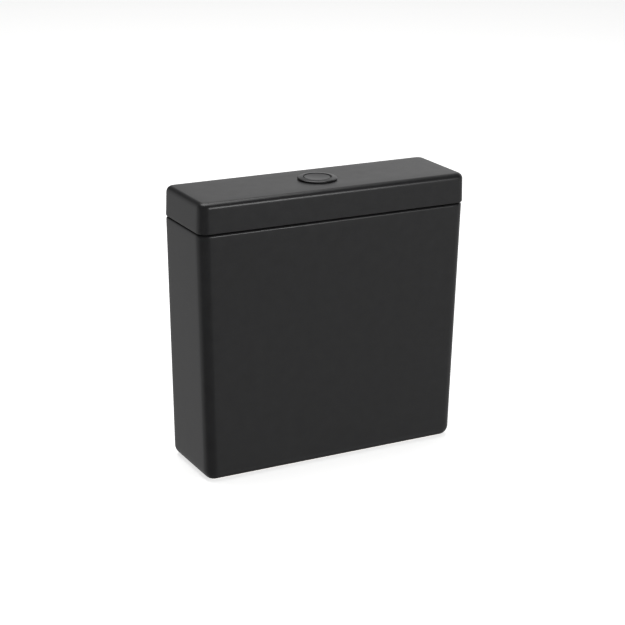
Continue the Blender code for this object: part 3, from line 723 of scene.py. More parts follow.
@dataclass(frozen=True)
class Tank:
    """The glazed tank: a tapering vessel with a round rim, and a recess under its base for the couplings."""

    base: Section = Section(0.1758, -0.0561, 0.0561, 0.014)
    rim: Section = Section(0.1838, -0.0550, 0.0561, 0.014)
    rim_height: float = 0.3155
    wall: float = 0.009
    back_wall: float = 0.012
    base_fillet: float = 0.0130
    rim_fillet: float = 0.0032
    inner_rim_fillet: float = 0.002
    floor_height: float = 0.040
    floor_fillet: float = 0.0045
    pocket: Section = Section(0.148, -0.039, 0.039, 0.018)
    pocket_height: float = 0.026
    pocket_fillet: float = 0.004
    pocket_edge: float = 0.002
    holes: tuple[Span, ...] = ((0.0, 0.031), (-0.118, 0.0112), (-0.075, 0.0055), (0.075, 0.0055))
    bow: float = 0.0003
    bowed_depth: float = 0.05

    def outside(self, inset: np.ndarray | float, height: np.ndarray | float) -> np.ndarray:
        """Stations of the outer wall, which tapers evenly from rim to base."""
        inset, height = np.broadcast_arrays(np.atleast_1d(inset), np.atleast_1d(height))
        share = (height / self.rim_height)[:, None]
        low, high = self.base.inset(inset, height), self.rim.inset(inset, height)
        return low + (high - low) * share

    def chamber(self, outset: np.ndarray | float, height: np.ndarray | float) -> np.ndarray:
        """Stations of the inner wall, set out by outset, with the thicker back."""
        outset, height = np.broadcast_arrays(np.atleast_1d(outset), np.atleast_1d(height))
        stations = self.outside(self.wall - outset, height)
        stations[:, 3] -= self.back_wall - self.wall
        return stations

    def stations(self) -> np.ndarray:
        """The whole closed profile, from the recess over the rim to the chamber's floor."""
        run, rise = quarter(self.pocket_fillet)
        parts = [self.pocket.inset(run[::-1], self.pocket_height - self.pocket_fillet + rise[::-1])]
        run, rise = quarter(self.pocket_edge)
        parts.append(self.pocket.inset(-run, self.pocket_edge - rise))
        run, rise = quarter(self.base_fillet, 12)
        parts.append(self.outside(run[::-1], self.base_fillet - rise[::-1]))
        heights = np.linspace(self.base_fillet, self.rim_height - self.rim_fillet, 40)[1:-1]
        parts.append(self.outside(0.0, heights))
        run, rise = quarter(self.rim_fillet, 8)
        parts.append(self.outside(run, self.rim_height - self.rim_fillet + rise))
        run, rise = quarter(self.inner_rim_fillet)
        parts.append(self.chamber(run[::-1], self.rim_height - self.inner_rim_fillet + rise[::-1]))
        foot = self.floor_height + self.floor_fillet
        heights = np.linspace(self.rim_height - self.inner_rim_fillet, foot, 16)
        parts.append(self.chamber(0.0, heights[1:-1]))
        run, rise = quarter(self.floor_fillet)
        parts.append(self.chamber(-run, foot - rise))
        return np.concatenate(parts)

    def build(self) -> Piece:
        """Lofts the shell, gives its long faces the faint hollow of fired clay, and drills its floor."""
        points = loops(self.stations())
        share = np.clip(points[..., 2] / self.rim_height, 0, 1)
        across = np.cos(math.pi * points[..., 0] / (2 * self.rim.half_width))
        hollow = self.bow * np.sin(math.pi * share) * across
        depth = points[..., 1] - (self.rim.front + self.rim.back) / 2
        points[..., 1] -= np.sign(depth) * hollow * (np.abs(depth) > self.bowed_depth)
        tank = grid_piece("tank_shell", points)
        low, high = self.pocket_height - OVERSHOOT, self.floor_height + OVERSHOOT
        drills = [rod("drill", radius, low, high, (x, 0.0)) for x, radius in self.holes]
        return boolean(tank, drills, "DIFFERENCE")

    def dress(self) -> None:
        """Builds the tank and hangs it in the frame."""
        place_piece(self.build(), GLAZED_CHINA, "tank", "cistern_tank")


@dataclass(frozen=True)
class Lid:
    """The glazed lid: a flat cap with a locating lip, a round hole, and seats for four soft studs."""

    edge: Section = Section(0.184, -0.0556, 0.0551, 0.0125)
    foot: float = 0.3165
    top: float = 0.3538
    draft: float = 0.0010
    top_fillet: float = 0.0072
    edge_fillet: float = 0.0016
    crown: float = 0.0002
    ceiling: float = 0.344
    hole_radius: float = 0.020
    hole_edge: float = 0.0012
    lip: Section = Section(0.1723, -0.0435, 0.0416, 0.008)
    lip_foot: float = 0.308
    lip_wall: float = 0.007
    lip_fillet: float = 0.0016
    hollow_fillet: float = 0.004
    stud_x: float = 0.1786
    stud_y: float = 0.030
    stud_radius: float = 0.0026
    stud_top: float = 0.3180
    stud_foot: float = 0.3158

    def outside(self, inset: np.ndarray, height: np.ndarray) -> np.ndarray:
        """Stations of the outer wall, which draws in a little towards the top."""
        share = (height - self.foot) / (self.top - self.foot)
        return self.edge.inset(inset + self.draft * share, height)

    def surface(self) -> np.ndarray:
        """Loops of the closed shell: lower edge, top, down the hole, and round the lip."""
        run, rise = quarter(self.edge_fillet)
        wall = [self.outside(run[::-1], self.foot + self.edge_fillet - rise[::-1])]
        heights = np.linspace(self.foot + self.edge_fillet, self.top - self.top_fillet, 10)[1:-1]
        wall.append(self.outside(np.zeros_like(heights), heights))
        run, rise = quarter(self.top_fillet, 12)
        wall.append(self.outside(run, self.top - self.top_fillet + rise))
        outer = loops(np.concatenate(wall))
        run, rise = quarter(self.hole_edge)
        bore = circles(self.hole_radius + run[::-1], self.top - self.hole_edge + rise[::-1], (0.0, 0.0))
        shaft = circles(self.hole_radius, np.array([self.ceiling + 0.0005, self.ceiling]), (0.0, 0.0))
        hollow = Section(
            self.lip.half_width - self.lip_wall,
            self.lip.front + self.lip_wall,
            self.lip.back - self.lip_wall,
            0.006,
        )
        run, rise = quarter(self.hollow_fillet)
        inner = [hollow.inset(run[::-1], self.ceiling - self.hollow_fillet + rise[::-1])]
        run, rise = quarter(self.lip_fillet)
        inner.append(hollow.inset(-run, self.lip_foot + self.lip_fillet - rise))
        inner.append(self.lip.inset(run[::-1], self.lip_foot + self.lip_fillet - rise[::-1]))
        inner.append(self.lip.inset(-run, self.foot - self.lip_fillet + rise))
        under = loops(np.concatenate(inner))
        top_plane = between(outer[-1], bore[0], 14)
        top_plane[..., 2] += self.crown * np.sin(math.pi * np.linspace(0, 1, 15)[1:-1])[:, None]
        ceiling_plane = between(shaft[-1], under[0], 10)
        return np.concatenate([outer, top_plane, bore, shaft, ceiling_plane, under])

    def build(self) -> Piece:
        """Lofts the lid as one closed ring of loops and sinks the four stud seats."""
        lid = grid_piece("lid_shell", self.surface(), wrap=True)
        seats = [
            rod("seat", self.stud_radius + GAP, self.foot - OVERSHOOT, self.stud_top + GAP, place)
            for place in self.stud_places().values()
        ]
        return boolean(lid, seats, "DIFFERENCE")

    def stud_places(self) -> dict[str, Span]:
        """Corner name to the centre of its stud."""
        return {
            f"{depth}_{side}": (x * self.stud_x, y * self.stud_y)
            for depth, y in (("front", -1), ("back", 1))
            for side, x in (("left", -1), ("right", 1))
        }

    def dress(self) -> None:
        """Builds the lid with its studs."""
        place_piece(self.build(), GLAZED_CHINA, "lid", "cistern_lid")
        low, high, radius = self.stud_foot, self.stud_top, self.stud_radius
        for corner, centre in self.stud_places().items():
            outline = [(0, high, 0), (radius, high, 0.0004), (radius, low, 0.0007), (0, low, 0)]
            stud = lathe(f"lid_stud_{corner}", outline, centre, 40)
            place_piece(stud, EPDM_RUBBER, "lid", f"lid_buffer_{corner}")


# Push button


@dataclass(frozen=True)
class ButtonSet:
    """The round push button with its flange, sleeve, spring, clip and rod."""

    flange_radius: float = 0.025
    flange_foot: float = 0.3550
    flange_edge: float = 0.0009
    crest: float = 0.3570
    sleeve_radius: float = 0.019
    sleeve_foot: float = 0.326
    floor: float = 0.329
    stem_hole: float = 0.0055
    button_radius: float = 0.0171
    button_gap: float = 0.0004
    button_top: float = 0.3564
    dish: float = 0.0007
    button_skirt: float = 0.012
    stem_radius: float = 0.0045
    stem_foot: float = 0.318
    rod_radius: float = 0.0025
    rod_foot: float = 0.2713
    rod_pad: float = 0.008
    lid_top: float = 0.3538
    lid_ceiling: float = 0.344
    nut_radius: float = 0.023
    nut_foot: float = 0.336
    coil_radius: float = 0.0105
    wire: float = 0.0007
    coils: float = 5.0
    closed_coils: float = 0.9
    spring_seat: float = 0.0034
    clip_radius: float = 0.0075
    clip_foot: float = 0.3225
    rod_nut_width: float = 0.008
    rod_nut_height: float = 0.006

    def bezel(self) -> Piece:
        """Low cone of a flange with a bright-edged lip, on a threaded sleeve with a pierced floor."""
        bore = self.button_radius + self.button_gap
        radius, foot = self.flange_radius, self.flange_foot
        outline = [
            (bore + 0.0013, self.crest, 0.0003),
            (radius - 0.0011, foot + self.flange_edge + 0.0003, 0.0010),
            (radius, foot + 0.0004, 0.0003),
            (radius - 0.0002, foot, 0.0001),
            (self.sleeve_radius, foot, 0.0002),
            (self.sleeve_radius, self.sleeve_foot, 0.0004),
            (self.stem_hole, self.sleeve_foot, 0.0004),
            (self.stem_hole, self.floor, 0.0004),
            (bore, self.floor, 0.0008),
            (bore, self.crest - 0.0011, 0.0004),
            (bore + 0.0005, self.crest - 0.0003, 0.0003),
        ]
        profile = stepped(fillet(outline), 0.00025)
        low, high = self.sleeve_foot + 0.001, self.lid_ceiling + 0.003
        return sweep("bezel", profile, (0, 0), 120, thread(self.sleeve_radius, 0.0006, 0.0015, low, high))

    def gasket(self) -> Piece:
        """Soft ring between the flange and the glaze."""
        low, high = self.lid_top + GAP, self.flange_foot - GAP
        outer, inner = self.flange_radius - 0.001, self.sleeve_radius + 0.001
        outline = [(outer, high, 0.0002), (outer, low, 0.0002), (inner, low, 0), (inner, high, 0)]
        return lathe("flange_gasket", outline, sides=120)

    def locknut(self) -> Piece:
        """Hand nut with eight grip ribs round its edge."""
        low, high = self.nut_foot, self.lid_ceiling - GAP
        outer, inner = self.nut_radius, self.sleeve_radius + GAP
        outline = [
            (outer + 0.0012, high, 0.0006),
            (outer + 0.0012, high - 0.002, 0.0004),
            (outer, high - 0.0024, 0.0003),
            (outer, low, 0.0008),
            (inner, low, 0.0004),
            (inner, high, 0.0004),
        ]
        return lathe("sleeve_locknut", outline, sides=160, wave=ribs(outer, 0.0011, 16))

    def cap(self) -> Piece:
        """The button: a shallow dish of a top with a rolled edge, a skirt and a hollow stem."""
        radius, top = self.button_radius, self.button_top
        crown = top - 0.003
        share = np.linspace(0, 1, 24)
        dish = np.stack([share * (radius - 0.0017), top - 0.0001 - self.dish * (1 - share**2)], axis=1)
        outline = fillet(
            [
                (radius - 0.0010, top, 0.0006),
                (radius, top - 0.0008, 0.0006),
                (radius, top - self.button_skirt, 0.0003),
                (radius - 0.0018, top - self.button_skirt, 0.0003),
                (radius - 0.0018, crown - 0.0004, 0.0008),
                (self.stem_radius, crown - 0.0004, 0.0008),
                (self.stem_radius, self.stem_foot, 0.0003),
                (0.0028, self.stem_foot, 0.0003),
                (0.0028, self.stem_foot + 0.016, 0.0004),
                (0, self.stem_foot + 0.016, 0),
            ],
            closed=False,
        )
        return sweep("button_cap", np.concatenate([dish, outline]), (0, 0), 120, wrap=False)

    def spring(self) -> Piece:
        """Coil whose height rises slowly over its closed end turns and evenly between them.

        The wire's centre is (R cos a, R sin a, z(a)); its section turns about that line in the plane
        of the outward and upward directions.
        """
        start = self.floor + GAP + self.wire
        end = self.button_top - self.spring_seat - GAP - self.wire
        closed_pitch = 2.3 * self.wire
        open_coils = self.coils - 2 * self.closed_coils
        open_pitch = (end - start - 2 * self.closed_coils * closed_pitch) / open_coils
        turns = np.linspace(0, self.coils, int(self.coils * 40) + 1)
        opened = np.clip(turns - self.closed_coils, 0, open_coils)
        height = (start + open_pitch * opened + closed_pitch * (turns - opened))[:, None]
        angle, section = 2 * math.pi * turns[:, None], np.linspace(0, 2 * math.pi, 14, endpoint=False)[None]
        radius = self.coil_radius + self.wire * np.cos(section)
        points = np.stack(
            [radius * np.cos(angle), radius * np.sin(angle), height + self.wire * np.sin(section)], axis=-1
        )
        return grid_piece("return_spring", points)

    def push_rod(self) -> Piece:
        """Threaded rod with a broad foot that presses both levers."""
        radius, pad, foot = self.rod_radius, self.rod_pad, self.rod_foot
        top = self.stem_foot + 0.014
        neck = foot + 0.006
        shank = np.arange(top - 0.0007, neck + 0.0012, -0.0002)
        head = fillet([(0, top, 0), (radius, top, 0.0005), (radius, neck, 0)], closed=False)[:-1]
        skirt = fillet(
            [
                (radius, neck + 0.001, 0),
                (radius, neck, 0.0008),
                (pad, foot + 0.003, 0.0008),
                (pad, foot, 0.0006),
                (0, foot, 0),
            ],
            closed=False,
        )
        profile = np.concatenate([head, np.stack([np.full_like(shank, radius), shank], axis=1), skirt])
        cut = thread(radius, 0.0003, 0.0008, foot + 0.012, top - 0.001)
        return sweep("push_rod_stem", profile, (0, 0), 64, cut, wrap=False)

    def dress(self) -> None:
        """Builds the set, with the flange and its nut on the lid and the rest on the button."""
        place_piece(self.bezel(), SATIN_BLACK_ABS, "lid", "button_bezel")
        place_piece(self.gasket(), EPDM_RUBBER, "lid", "bezel_gasket")
        place_piece(self.locknut(), GREY_PP, "lid", "bezel_locknut")
        place_piece(self.cap(), SATIN_BLACK_ABS, "button", "push_button")
        inner, low, high = self.stem_radius + GAP, self.clip_foot, self.sleeve_foot - GAP
        clip = washer("stem_clip", inner, self.clip_radius, low, high, (0.0, 0.0), 0.0003)
        place_piece(clip, TURNED_STAINLESS, "button", "button_clip")
        place_piece(self.push_rod(), WHITE_POM, "button", "push_rod")
        low, high = self.stem_foot - self.rod_nut_height, self.stem_foot - GAP
        nut = hex_nut("rod_nut", self.rod_radius + GAP, self.rod_nut_width, low, high)
        place_piece(nut, TURNED_BRASS, "button", "push_rod_nut")
        spring = place_piece(self.spring(), SPRING_STEEL, "button", "button_spring")
        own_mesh(spring)


# Flush valve


@dataclass(frozen=True)
class FlushValve:
    """Seat and threaded tail, tower, lever bridge, two levers, and the tube that they lift."""

    seat_lip: float = 0.050
    seat: float = 0.047
    tail_radius: float = 0.029
    outlet_radius: float = 0.024
    flange: float = 0.038
    flange_foot: float = 0.043
    nut_radius: float = 0.0335
    nut_foot: float = 0.0187
    tank_floor: float = 0.040
    pocket: float = 0.026
    tower_radius: float = 0.035
    tower_wall: float = 0.0025
    tower_top: float = 0.200
    windows: tuple[tuple[float, float, float], ...] = ((0.013, 0.053, 0.090), (0.010, 0.108, 0.186))
    tube_radius: float = 0.014
    tube_bore: float = 0.012
    tube_top: float = 0.246
    lever_x: float = 0.020
    lever_z: float = 0.268
    lever_inner: float = 0.016
    lever_outer: float = 0.017
    lever_half: float = 0.003
    lever_width: float = 0.008
    lever_hub: float = 0.005
    pin_radius: float = 0.0019
    bridge_half_gap: float = 0.019
    bridge_plate: float = 0.003
    bridge_half_width: float = 0.027
    bridge_top: float = 0.275
    seal_radius: float = 0.0292
    seal_top: float = 0.0531
    retainer_radius: float = 0.0215
    retainer_foot: float = 0.0455
    yoke_radius: float = 0.0168
    yoke_foot: float = 0.230
    yoke_top: float = 0.242

    def seat_body(self) -> Piece:
        """Ring seat with a thin sealing lip, on a two-inch threaded tail."""
        outline = [
            (0.0270, self.seat_lip, 0.0003),
            (0.0280, self.seat, 0.0008),
            (self.flange, self.seat, 0.0006),
            (self.flange, self.flange_foot, 0.0005),
            (self.tail_radius, self.flange_foot, 0.0005),
            (self.tail_radius, 0.003, 0.0010),
            (self.outlet_radius, 0.003, 0.0010),
            (self.outlet_radius, self.seat, 0.0008),
            (0.0262, self.seat_lip, 0.0003),
        ]
        profile = stepped(fillet(outline), 0.0004)
        cut = thread(self.tail_radius, 0.0008, 0.0023, 0.0045, self.tank_floor - 0.001)
        return sweep("valve_seat_and_tail", profile, (0, 0), 128, cut)

    def backnut(self) -> Piece:
        """Broad plastic nut with twelve grip lugs."""
        low, high = self.nut_foot, self.pocket - GAP
        inner, outer = self.tail_radius + GAP, self.nut_radius
        outline = [(outer, high, 0.0006), (outer, low, 0.0008), (inner, low, 0.0004), (inner, high, 0.0004)]
        return lathe("tail_backnut", outline, sides=192, wave=ribs(outer, 0.0014, 12))

    def doughnut(self) -> Piece:
        """Tapered foam-rubber ring that seals on the pan, with two shallow grooves."""
        inner = self.tail_radius + GAP
        outline = [
            (0.0360, 0.0184, 0.0012),
            (0.0375, 0.0140, 0.0020),
            (0.0362, 0.0100, 0.0006),
            (0.0354, 0.0094, 0.0006),
            (0.0360, 0.0086, 0.0006),
            (0.0350, 0.0050, 0.0006),
            (0.0342, 0.0044, 0.0006),
            (0.0347, 0.0036, 0.0006),
            (0.0340, 0.0005, 0.0006),
            (inner, 0.0005, 0.0008),
            (inner, 0.0184, 0.0008),
        ]
        return lathe("pan_doughnut_seal", outline, sides=112)

    def tower(self) -> Piece:
        """Round cage with a rolled top, two bands and four windows at each of two levels."""
        outer, inner = self.tower_radius, self.tower_radius - self.tower_wall
        foot, top = self.seat + GAP, self.tower_top
        outline = [
            (outer, top, 0.0007),
            (outer, top - 0.006, 0.0003),
            (outer - 0.0007, top - 0.0064, 0.0003),
            (outer - 0.0007, 0.1030, 0.0003),
            (outer, 0.1026, 0.0003),
            (outer, 0.0954, 0.0003),
            (outer - 0.0007, 0.0950, 0.0003),
            (outer - 0.0007, foot + 0.0030, 0.0003),
            (outer, foot + 0.0026, 0.0003),
            (outer, foot, 0.0003),
            (inner, foot, 0.0003),
            (inner, top, 0.0007),
        ]
        cage = lathe("valve_tower", outline, sides=144)
        cutters = []
        for half_width, low, high in self.windows:
            corner = 0.0035
            rect = [
                (-half_width, low, corner),
                (half_width, low, corner),
                (half_width, high, corner),
                (-half_width, high, corner),
            ]
            for turn in (0.0, math.pi / 2):
                axes = Matrix.Rotation(turn, 4, "Z") @ upright(0, 0, 0)
                cutters.append(slab("window", rect, 2 * (outer + OVERSHOOT), 0.0002, axes))
        return boolean(cage, cutters, "DIFFERENCE")

    def bridge(self) -> Piece:
        """Disc on the tower with two tall cheeks, drilled for the lever pins."""
        low, high = self.tower_top + GAP, self.tower_top + 0.004
        disc = washer("lever_bridge_frame", 0.0155, self.tower_radius, low, high, (0.0, 0.0), 0.0006)
        half, top = self.bridge_half_width, self.bridge_top
        middle = self.bridge_half_gap + self.bridge_plate / 2
        outline = [
            (-half, low + 0.0007, 0.0005),
            (half, low + 0.0007, 0.0005),
            (half, top, 0.0040),
            (0.0085, top, 0.0030),
            (0.0055, 0.232, 0.0040),
            (-0.0055, 0.232, 0.0040),
            (-0.0085, top, 0.0030),
            (-half, top, 0.0040),
        ]
        places = [upright(0, y, 0) for y in (-middle, middle)]
        cheeks = [slab("cheek", outline, self.bridge_plate, 0.0004, axes) for axes in places]
        frame = boolean(disc, cheeks, "UNION")
        reach = self.bridge_half_gap + self.bridge_plate + OVERSHOOT
        holes = [
            cross_pin("pin_hole", self.pin_radius + GAP, x, self.lever_z, -reach, reach)
            for x in (-self.lever_x, self.lever_x)
        ]
        return boolean(frame, holes, "DIFFERENCE")

    def lever(self, side: int) -> Piece:
        """Rocker with a round hub, drilled for its pin."""
        half, hub, tip = self.lever_half, self.lever_hub, 0.8 * self.lever_half
        outline = [
            (-self.lever_inner, half, 0.0008),
            (-self.lever_inner, 0.0, 0.0010),
            (-self.lever_inner + 0.003, -tip, 0.0010),
            (-0.0046, -half * 0.9, 0.0030),
            (-0.0030, -hub, 0.0022),
            (0.0030, -hub, 0.0022),
            (0.0046, -half * 0.9, 0.0030),
            (self.lever_outer - 0.003, -tip, 0.0010),
            (self.lever_outer, 0.0, 0.0010),
            (self.lever_outer, half, 0.0008),
        ]
        outline = [(side * x, z, radius) for x, z, radius in outline]
        x = side * self.lever_x
        rocker = slab(f"rocker_{side}", outline, self.lever_width, 0.0006, upright(x, 0, self.lever_z))
        hole = cross_pin("hole", self.pin_radius + GAP, x, self.lever_z, -self.lever_width, self.lever_width)
        return boolean(rocker, [hole], "DIFFERENCE")

    def lever_pin(self, side: int) -> Piece:
        """Headed pin across the two cheeks."""
        x, reach = side * self.lever_x, self.bridge_half_gap + self.bridge_plate
        radius, head = self.pin_radius, 0.0034
        profile = fillet(
            [
                (0, -reach - 0.0019, 0),
                (radius, -reach - 0.0019, 0.0005),
                (radius, reach + GAP, 0.0001),
                (head, reach + GAP, 0.0003),
                (head, reach + GAP + 0.0018, 0.0006),
                (0, reach + GAP + 0.0018, 0),
            ],
            closed=False,
        )
        return turned_across(f"headed_pin_{side}", profile, x, self.lever_z, 48)

    def lifting_tube(self) -> Piece:
        """Overflow tube with a cone at its foot that spreads over the seal."""
        outer, bore, top = self.tube_radius, self.tube_bore, self.tube_top
        outline = [
            (outer, top, 0.0006),
            (outer, 0.060, 0.0030),
            (0.024, 0.0565, 0.0012),
            (0.026, 0.0534, 0.0006),
            (outer, 0.0534, 0.0003),
            (outer, 0.0445, 0.0005),
            (bore, 0.0445, 0.0005),
            (bore, top, 0.0006),
        ]
        return lathe("lifting_overflow_tube", outline)

    def float_ring(self) -> Piece:
        """Inverted cup that helps the open valve float until the tank is empty."""
        outer, inner = 0.028, self.tube_radius + GAP
        outline = [
            (0.0270, 0.136, 0.0008),
            (outer, 0.134, 0.0008),
            (outer, 0.100, 0.0004),
            (0.0260, 0.100, 0.0004),
            (0.0260, 0.133, 0.0010),
            (inner + 0.0017, 0.133, 0.0010),
            (inner + 0.0017, 0.096, 0.0004),
            (inner, 0.096, 0.0004),
            (inner, 0.136, 0.0004),
        ]
        return lathe("valve_float", outline)

    def yoke(self) -> Piece:
        """Clamp ring with two arms, two posts and the hooks that the levers lift."""
        inner, low, high = self.tube_radius + GAP, self.yoke_foot, self.yoke_top
        ring = washer("yoke", inner, self.yoke_radius, low, high, (0.0, 0.0), 0.0005)
        hook = self.lever_z + self.lever_half + GAP
        post = self.lever_x + self.lever_outer + 0.0016
        parts = []
        for side in (-1, 1):
            for inner, outer, half, low, high in (
                (0.0155, post + 0.003, 0.0040, 0.233, 0.239),
                (post, post + 0.003, 0.0045, 0.2335, hook + 0.0035),
                (self.lever_x + 0.011, post + 0.0025, 0.0050, hook, hook + 0.004),
            ):
                near, far = sorted((side * inner, side * outer))
                parts.append(cuboid((near, -half, low), (far, half, high), 0.0005))
        return boolean(ring, parts, "UNION")

    def dress(self) -> None:
        """Builds the valve: the fixed pieces on the tank, the levers, and what they lift."""
        centre, tail = (0.0, 0.0), self.tail_radius + GAP
        place_piece(self.seat_body(), WHITE_POM, "tank", "flush_valve_body")
        low, high = self.tank_floor + GAP, self.flange_foot - GAP
        seal = washer("floor_washer", tail, self.flange, low, high, centre, 0.0005)
        place_piece(seal, EPDM_RUBBER, "tank", "flush_valve_washer")
        place_piece(self.backnut(), GREY_PP, "tank", "flush_valve_backnut")
        place_piece(self.doughnut(), EPDM_RUBBER, "tank", "coupling_seal")
        place_piece(self.tower(), WHITE_POM, "tank", "flush_tower")
        place_piece(self.bridge(), WHITE_POM, "tank", "lever_bridge")
        for name, side in (("left", -1), ("right", 1)):
            place_piece(self.lever(side), BLUE_PP, f"lever_{name}", f"flush_lever_{name}")
            place_piece(self.lever_pin(side), TURNED_STAINLESS, "tank", f"lever_pin_{name}")
        place_piece(self.lifting_tube(), GREY_PP, "valve", "overflow_tube")
        inner = self.tube_radius + GAP
        low, high = self.seat_lip + GAP, self.seal_top
        ring = washer("silicone_valve_seal", inner, self.seal_radius, low, high, centre, 0.0008)
        place_piece(ring, RED_SILICONE, "valve", "valve_seal")
        low, high = self.retainer_foot, self.seat_lip
        ring = washer("seal_clamp_ring", inner, self.retainer_radius, low, high, centre, 0.0007)
        place_piece(ring, GREY_PP, "valve", "seal_retainer")
        place_piece(self.float_ring(), BLUE_PP, "valve", "flush_float")
        place_piece(self.yoke(), BLUE_PP, "valve", "lift_yoke")


# Fill valve


@dataclass(frozen=True)
class FillValve:
    """Bottom-entry fill valve: riser, head, cup float, arm and quiet discharge tube."""

    x: float = -0.118
    tank_floor: float = 0.040
    pocket: float = 0.026
    inlet_radius: float = 0.0104
    inlet_bore: float = 0.005
    flange_radius: float = 0.0175
    flange_foot: float = 0.0425
    nut_width: float = 0.029
    nut_foot: float = 0.0175
    riser_radius: float = 0.011
    riser_top: float = 0.230
    head_radius: float = 0.018
    head_top: float = 0.256
    float_radius: float = 0.028
    float_low: float = 0.140
    float_high: float = 0.200
    arm_x: float = -0.104
    arm_z: float = 0.266
    arm_length: float = 0.039
    arm_drop: float = 0.006
    arm_width: float = 0.014
    arm_half: float = 0.003
    arm_hub: float = 0.0045
    pin_radius: float = 0.0019
    tube_x: float = -0.082
    tube_radius: float = 0.006
    tube_bore: float = 0.0045
    tube_bend: float = 0.010
    spout: float = 0.243
    tube_foot: float = 0.070
    stem_radius: float = 0.002
    stem_top: float = 0.271

    def riser(self) -> Piece:
        """Half-inch threaded inlet tail and plain riser in one."""
        outline = [
            (self.riser_radius, self.riser_top, 0.0005),
            (self.riser_radius, 0.050, 0.0020),
            (self.flange_radius, 0.047, 0.0008),
            (self.flange_radius, self.flange_foot, 0.0005),
            (self.inlet_radius, self.flange_foot, 0.0004),
            (self.inlet_radius, 0.003, 0.0007),
            (self.inlet_bore, 0.003, 0.0007),
            (self.inlet_bore, self.riser_top, 0.0005),
        ]
        profile = stepped(fillet(outline), 0.00035)
        cut = thread(self.inlet_radius, 0.0007, 0.0018, 0.0042, self.tank_floor - 0.001)
        return sweep("inlet_tail_and_riser", profile, (self.x, 0), 64, cut)

    def filter(self) -> Piece:
        """Ribbed cone of mesh in the inlet."""
        outline = [
            (0, 0.040, 0),
            (0.0036, 0.040, 0.0006),
            (0.0044, 0.0045, 0.0003),
            (0.0030, 0.0045, 0.0003),
            (0.0026, 0.038, 0.0003),
            (0, 0.038, 0),
        ]
        return lathe("inlet_mesh_filter", outline, (self.x, 0), 96, ribs(0.0042, 0.0004, 12))

    def head(self) -> Piece:
        """Cap with two ears that carry the arm."""
        radius, top, foot = self.head_radius, self.head_top, self.riser_top - 0.004
        bore = self.riser_radius + GAP
        outline = [
            (0, top, 0),
            (radius - 0.0008, top, 0.0018),
            (radius - 0.0008, foot + 0.010, 0.0003),
            (radius, foot + 0.0096, 0.0003),
            (radius, foot, 0.0008),
            (bore, foot, 0.0005),
            (bore, self.riser_top + GAP, 0),
            (radius - 0.004, self.riser_top + 0.002, 0.0003),
            (radius - 0.004, self.riser_top + 0.008, 0.0008),
            (0, self.riser_top + 0.008, 0),
        ]
        cap = lathe("valve_head", outline, (self.x, 0), 120)
        middle = self.arm_width / 2 + 0.0023
        ear = [
            (self.arm_x - 0.0045, top - 0.003, 0.0005),
            (self.arm_x + 0.0025, top - 0.003, 0.0005),
            (self.arm_x + 0.0025, self.arm_z + 0.0045, 0.0022),
            (self.arm_x - 0.0045, self.arm_z + 0.0045, 0.0022),
        ]
        ears = [slab("ear", ear, 0.003, 0.0004, upright(0, y, 0)) for y in (-middle, middle)]
        cap = boolean(cap, ears, "UNION")
        hole = cross_pin("hole", self.pin_radius + GAP, self.arm_x, self.arm_z, -0.016, 0.016)
        return boolean(cap, [hole], "DIFFERENCE")

    def discharge(self) -> Piece:
        """Bent tube: its section rides along the route, out at the outer radius and back at the bore.

        The route runs level from the head, round a quarter bend and straight down. Each point is the
        route's point plus radius times (cos a across the bend, sin a along Y).
        """
        bend = np.linspace(math.pi / 2, 0, 20)
        start = self.x + self.head_radius + GAP
        centre = (self.tube_x - self.tube_bend, self.spout - self.tube_bend)
        route = np.concatenate(
            [
                [[start, self.spout]],
                np.stack(
                    [centre[0] + self.tube_bend * np.cos(bend), centre[1] + self.tube_bend * np.sin(bend)],
                    axis=1,
                ),
                [[self.tube_x, self.tube_foot]],
            ]
        )
        outward = np.concatenate([[[0.0, 1.0]], np.stack([np.cos(bend), np.sin(bend)], axis=1), [[1.0, 0.0]]])
        route, outward = np.concatenate([route, route[::-1]]), np.concatenate([outward, outward[::-1]])
        count = len(route) // 2
        radius = np.where(np.arange(2 * count) < count, self.tube_radius, self.tube_bore)[:, None]
        angle = np.linspace(0, 2 * math.pi, 40, endpoint=False)[None]
        x = route[:, :1] + outward[:, :1] * radius * np.cos(angle)
        z = route[:, 1:] + outward[:, 1:] * radius * np.cos(angle)
        points = np.stack([x, radius * np.sin(angle), z], axis=-1)
        return grid_piece("quiet_discharge_tube", points, wrap=True)

    def cup(self) -> Piece:
        """Open-bottomed float cup with a rounded shoulder and a bead round its mouth."""
        outer, low, high, sleeve = self.float_radius, self.float_low, self.float_high, self.riser_radius
        outline = [
            (outer - 0.0007, high, 0.0030),
            (outer - 0.0007, low + 0.003, 0.0003),
            (outer, low + 0.0026, 0.0003),
            (outer, low, 0.0006),
            (outer - 0.002, low, 0.0006),
            (outer - 0.002, high - 0.003, 0.0020),
            (sleeve + 0.0028, high - 0.003, 0.0015),
            (sleeve + 0.0028, low, 0.0005),
            (sleeve + 0.0008, low, 0.0005),
            (sleeve + 0.0008, high, 0.0005),
        ]
        return lathe("cup_float", outline, (self.x, 0), 112)

    def stem(self, centre: Span) -> Piece:
        """Rod on the float, threaded where its nut sits under the arm."""
        radius, low, high = self.stem_radius, self.float_high + GAP, self.stem_top
        outline = [(0, high, 0), (radius, high, 0.0005), (radius, low, 0.0002), (0, low, 0)]
        profile = stepped(fillet(outline, closed=False), 0.00025)
        profile = profile[: int(np.argmin(profile[:, 1])) + 1]
        profile = np.concatenate([profile, [[0.0, profile[-1, 1]]]])
        cut = thread(radius, 0.00025, 0.0008, 0.240, high - 0.0008)
        return sweep("float_stem", profile, centre, 48, cut, wrap=False)

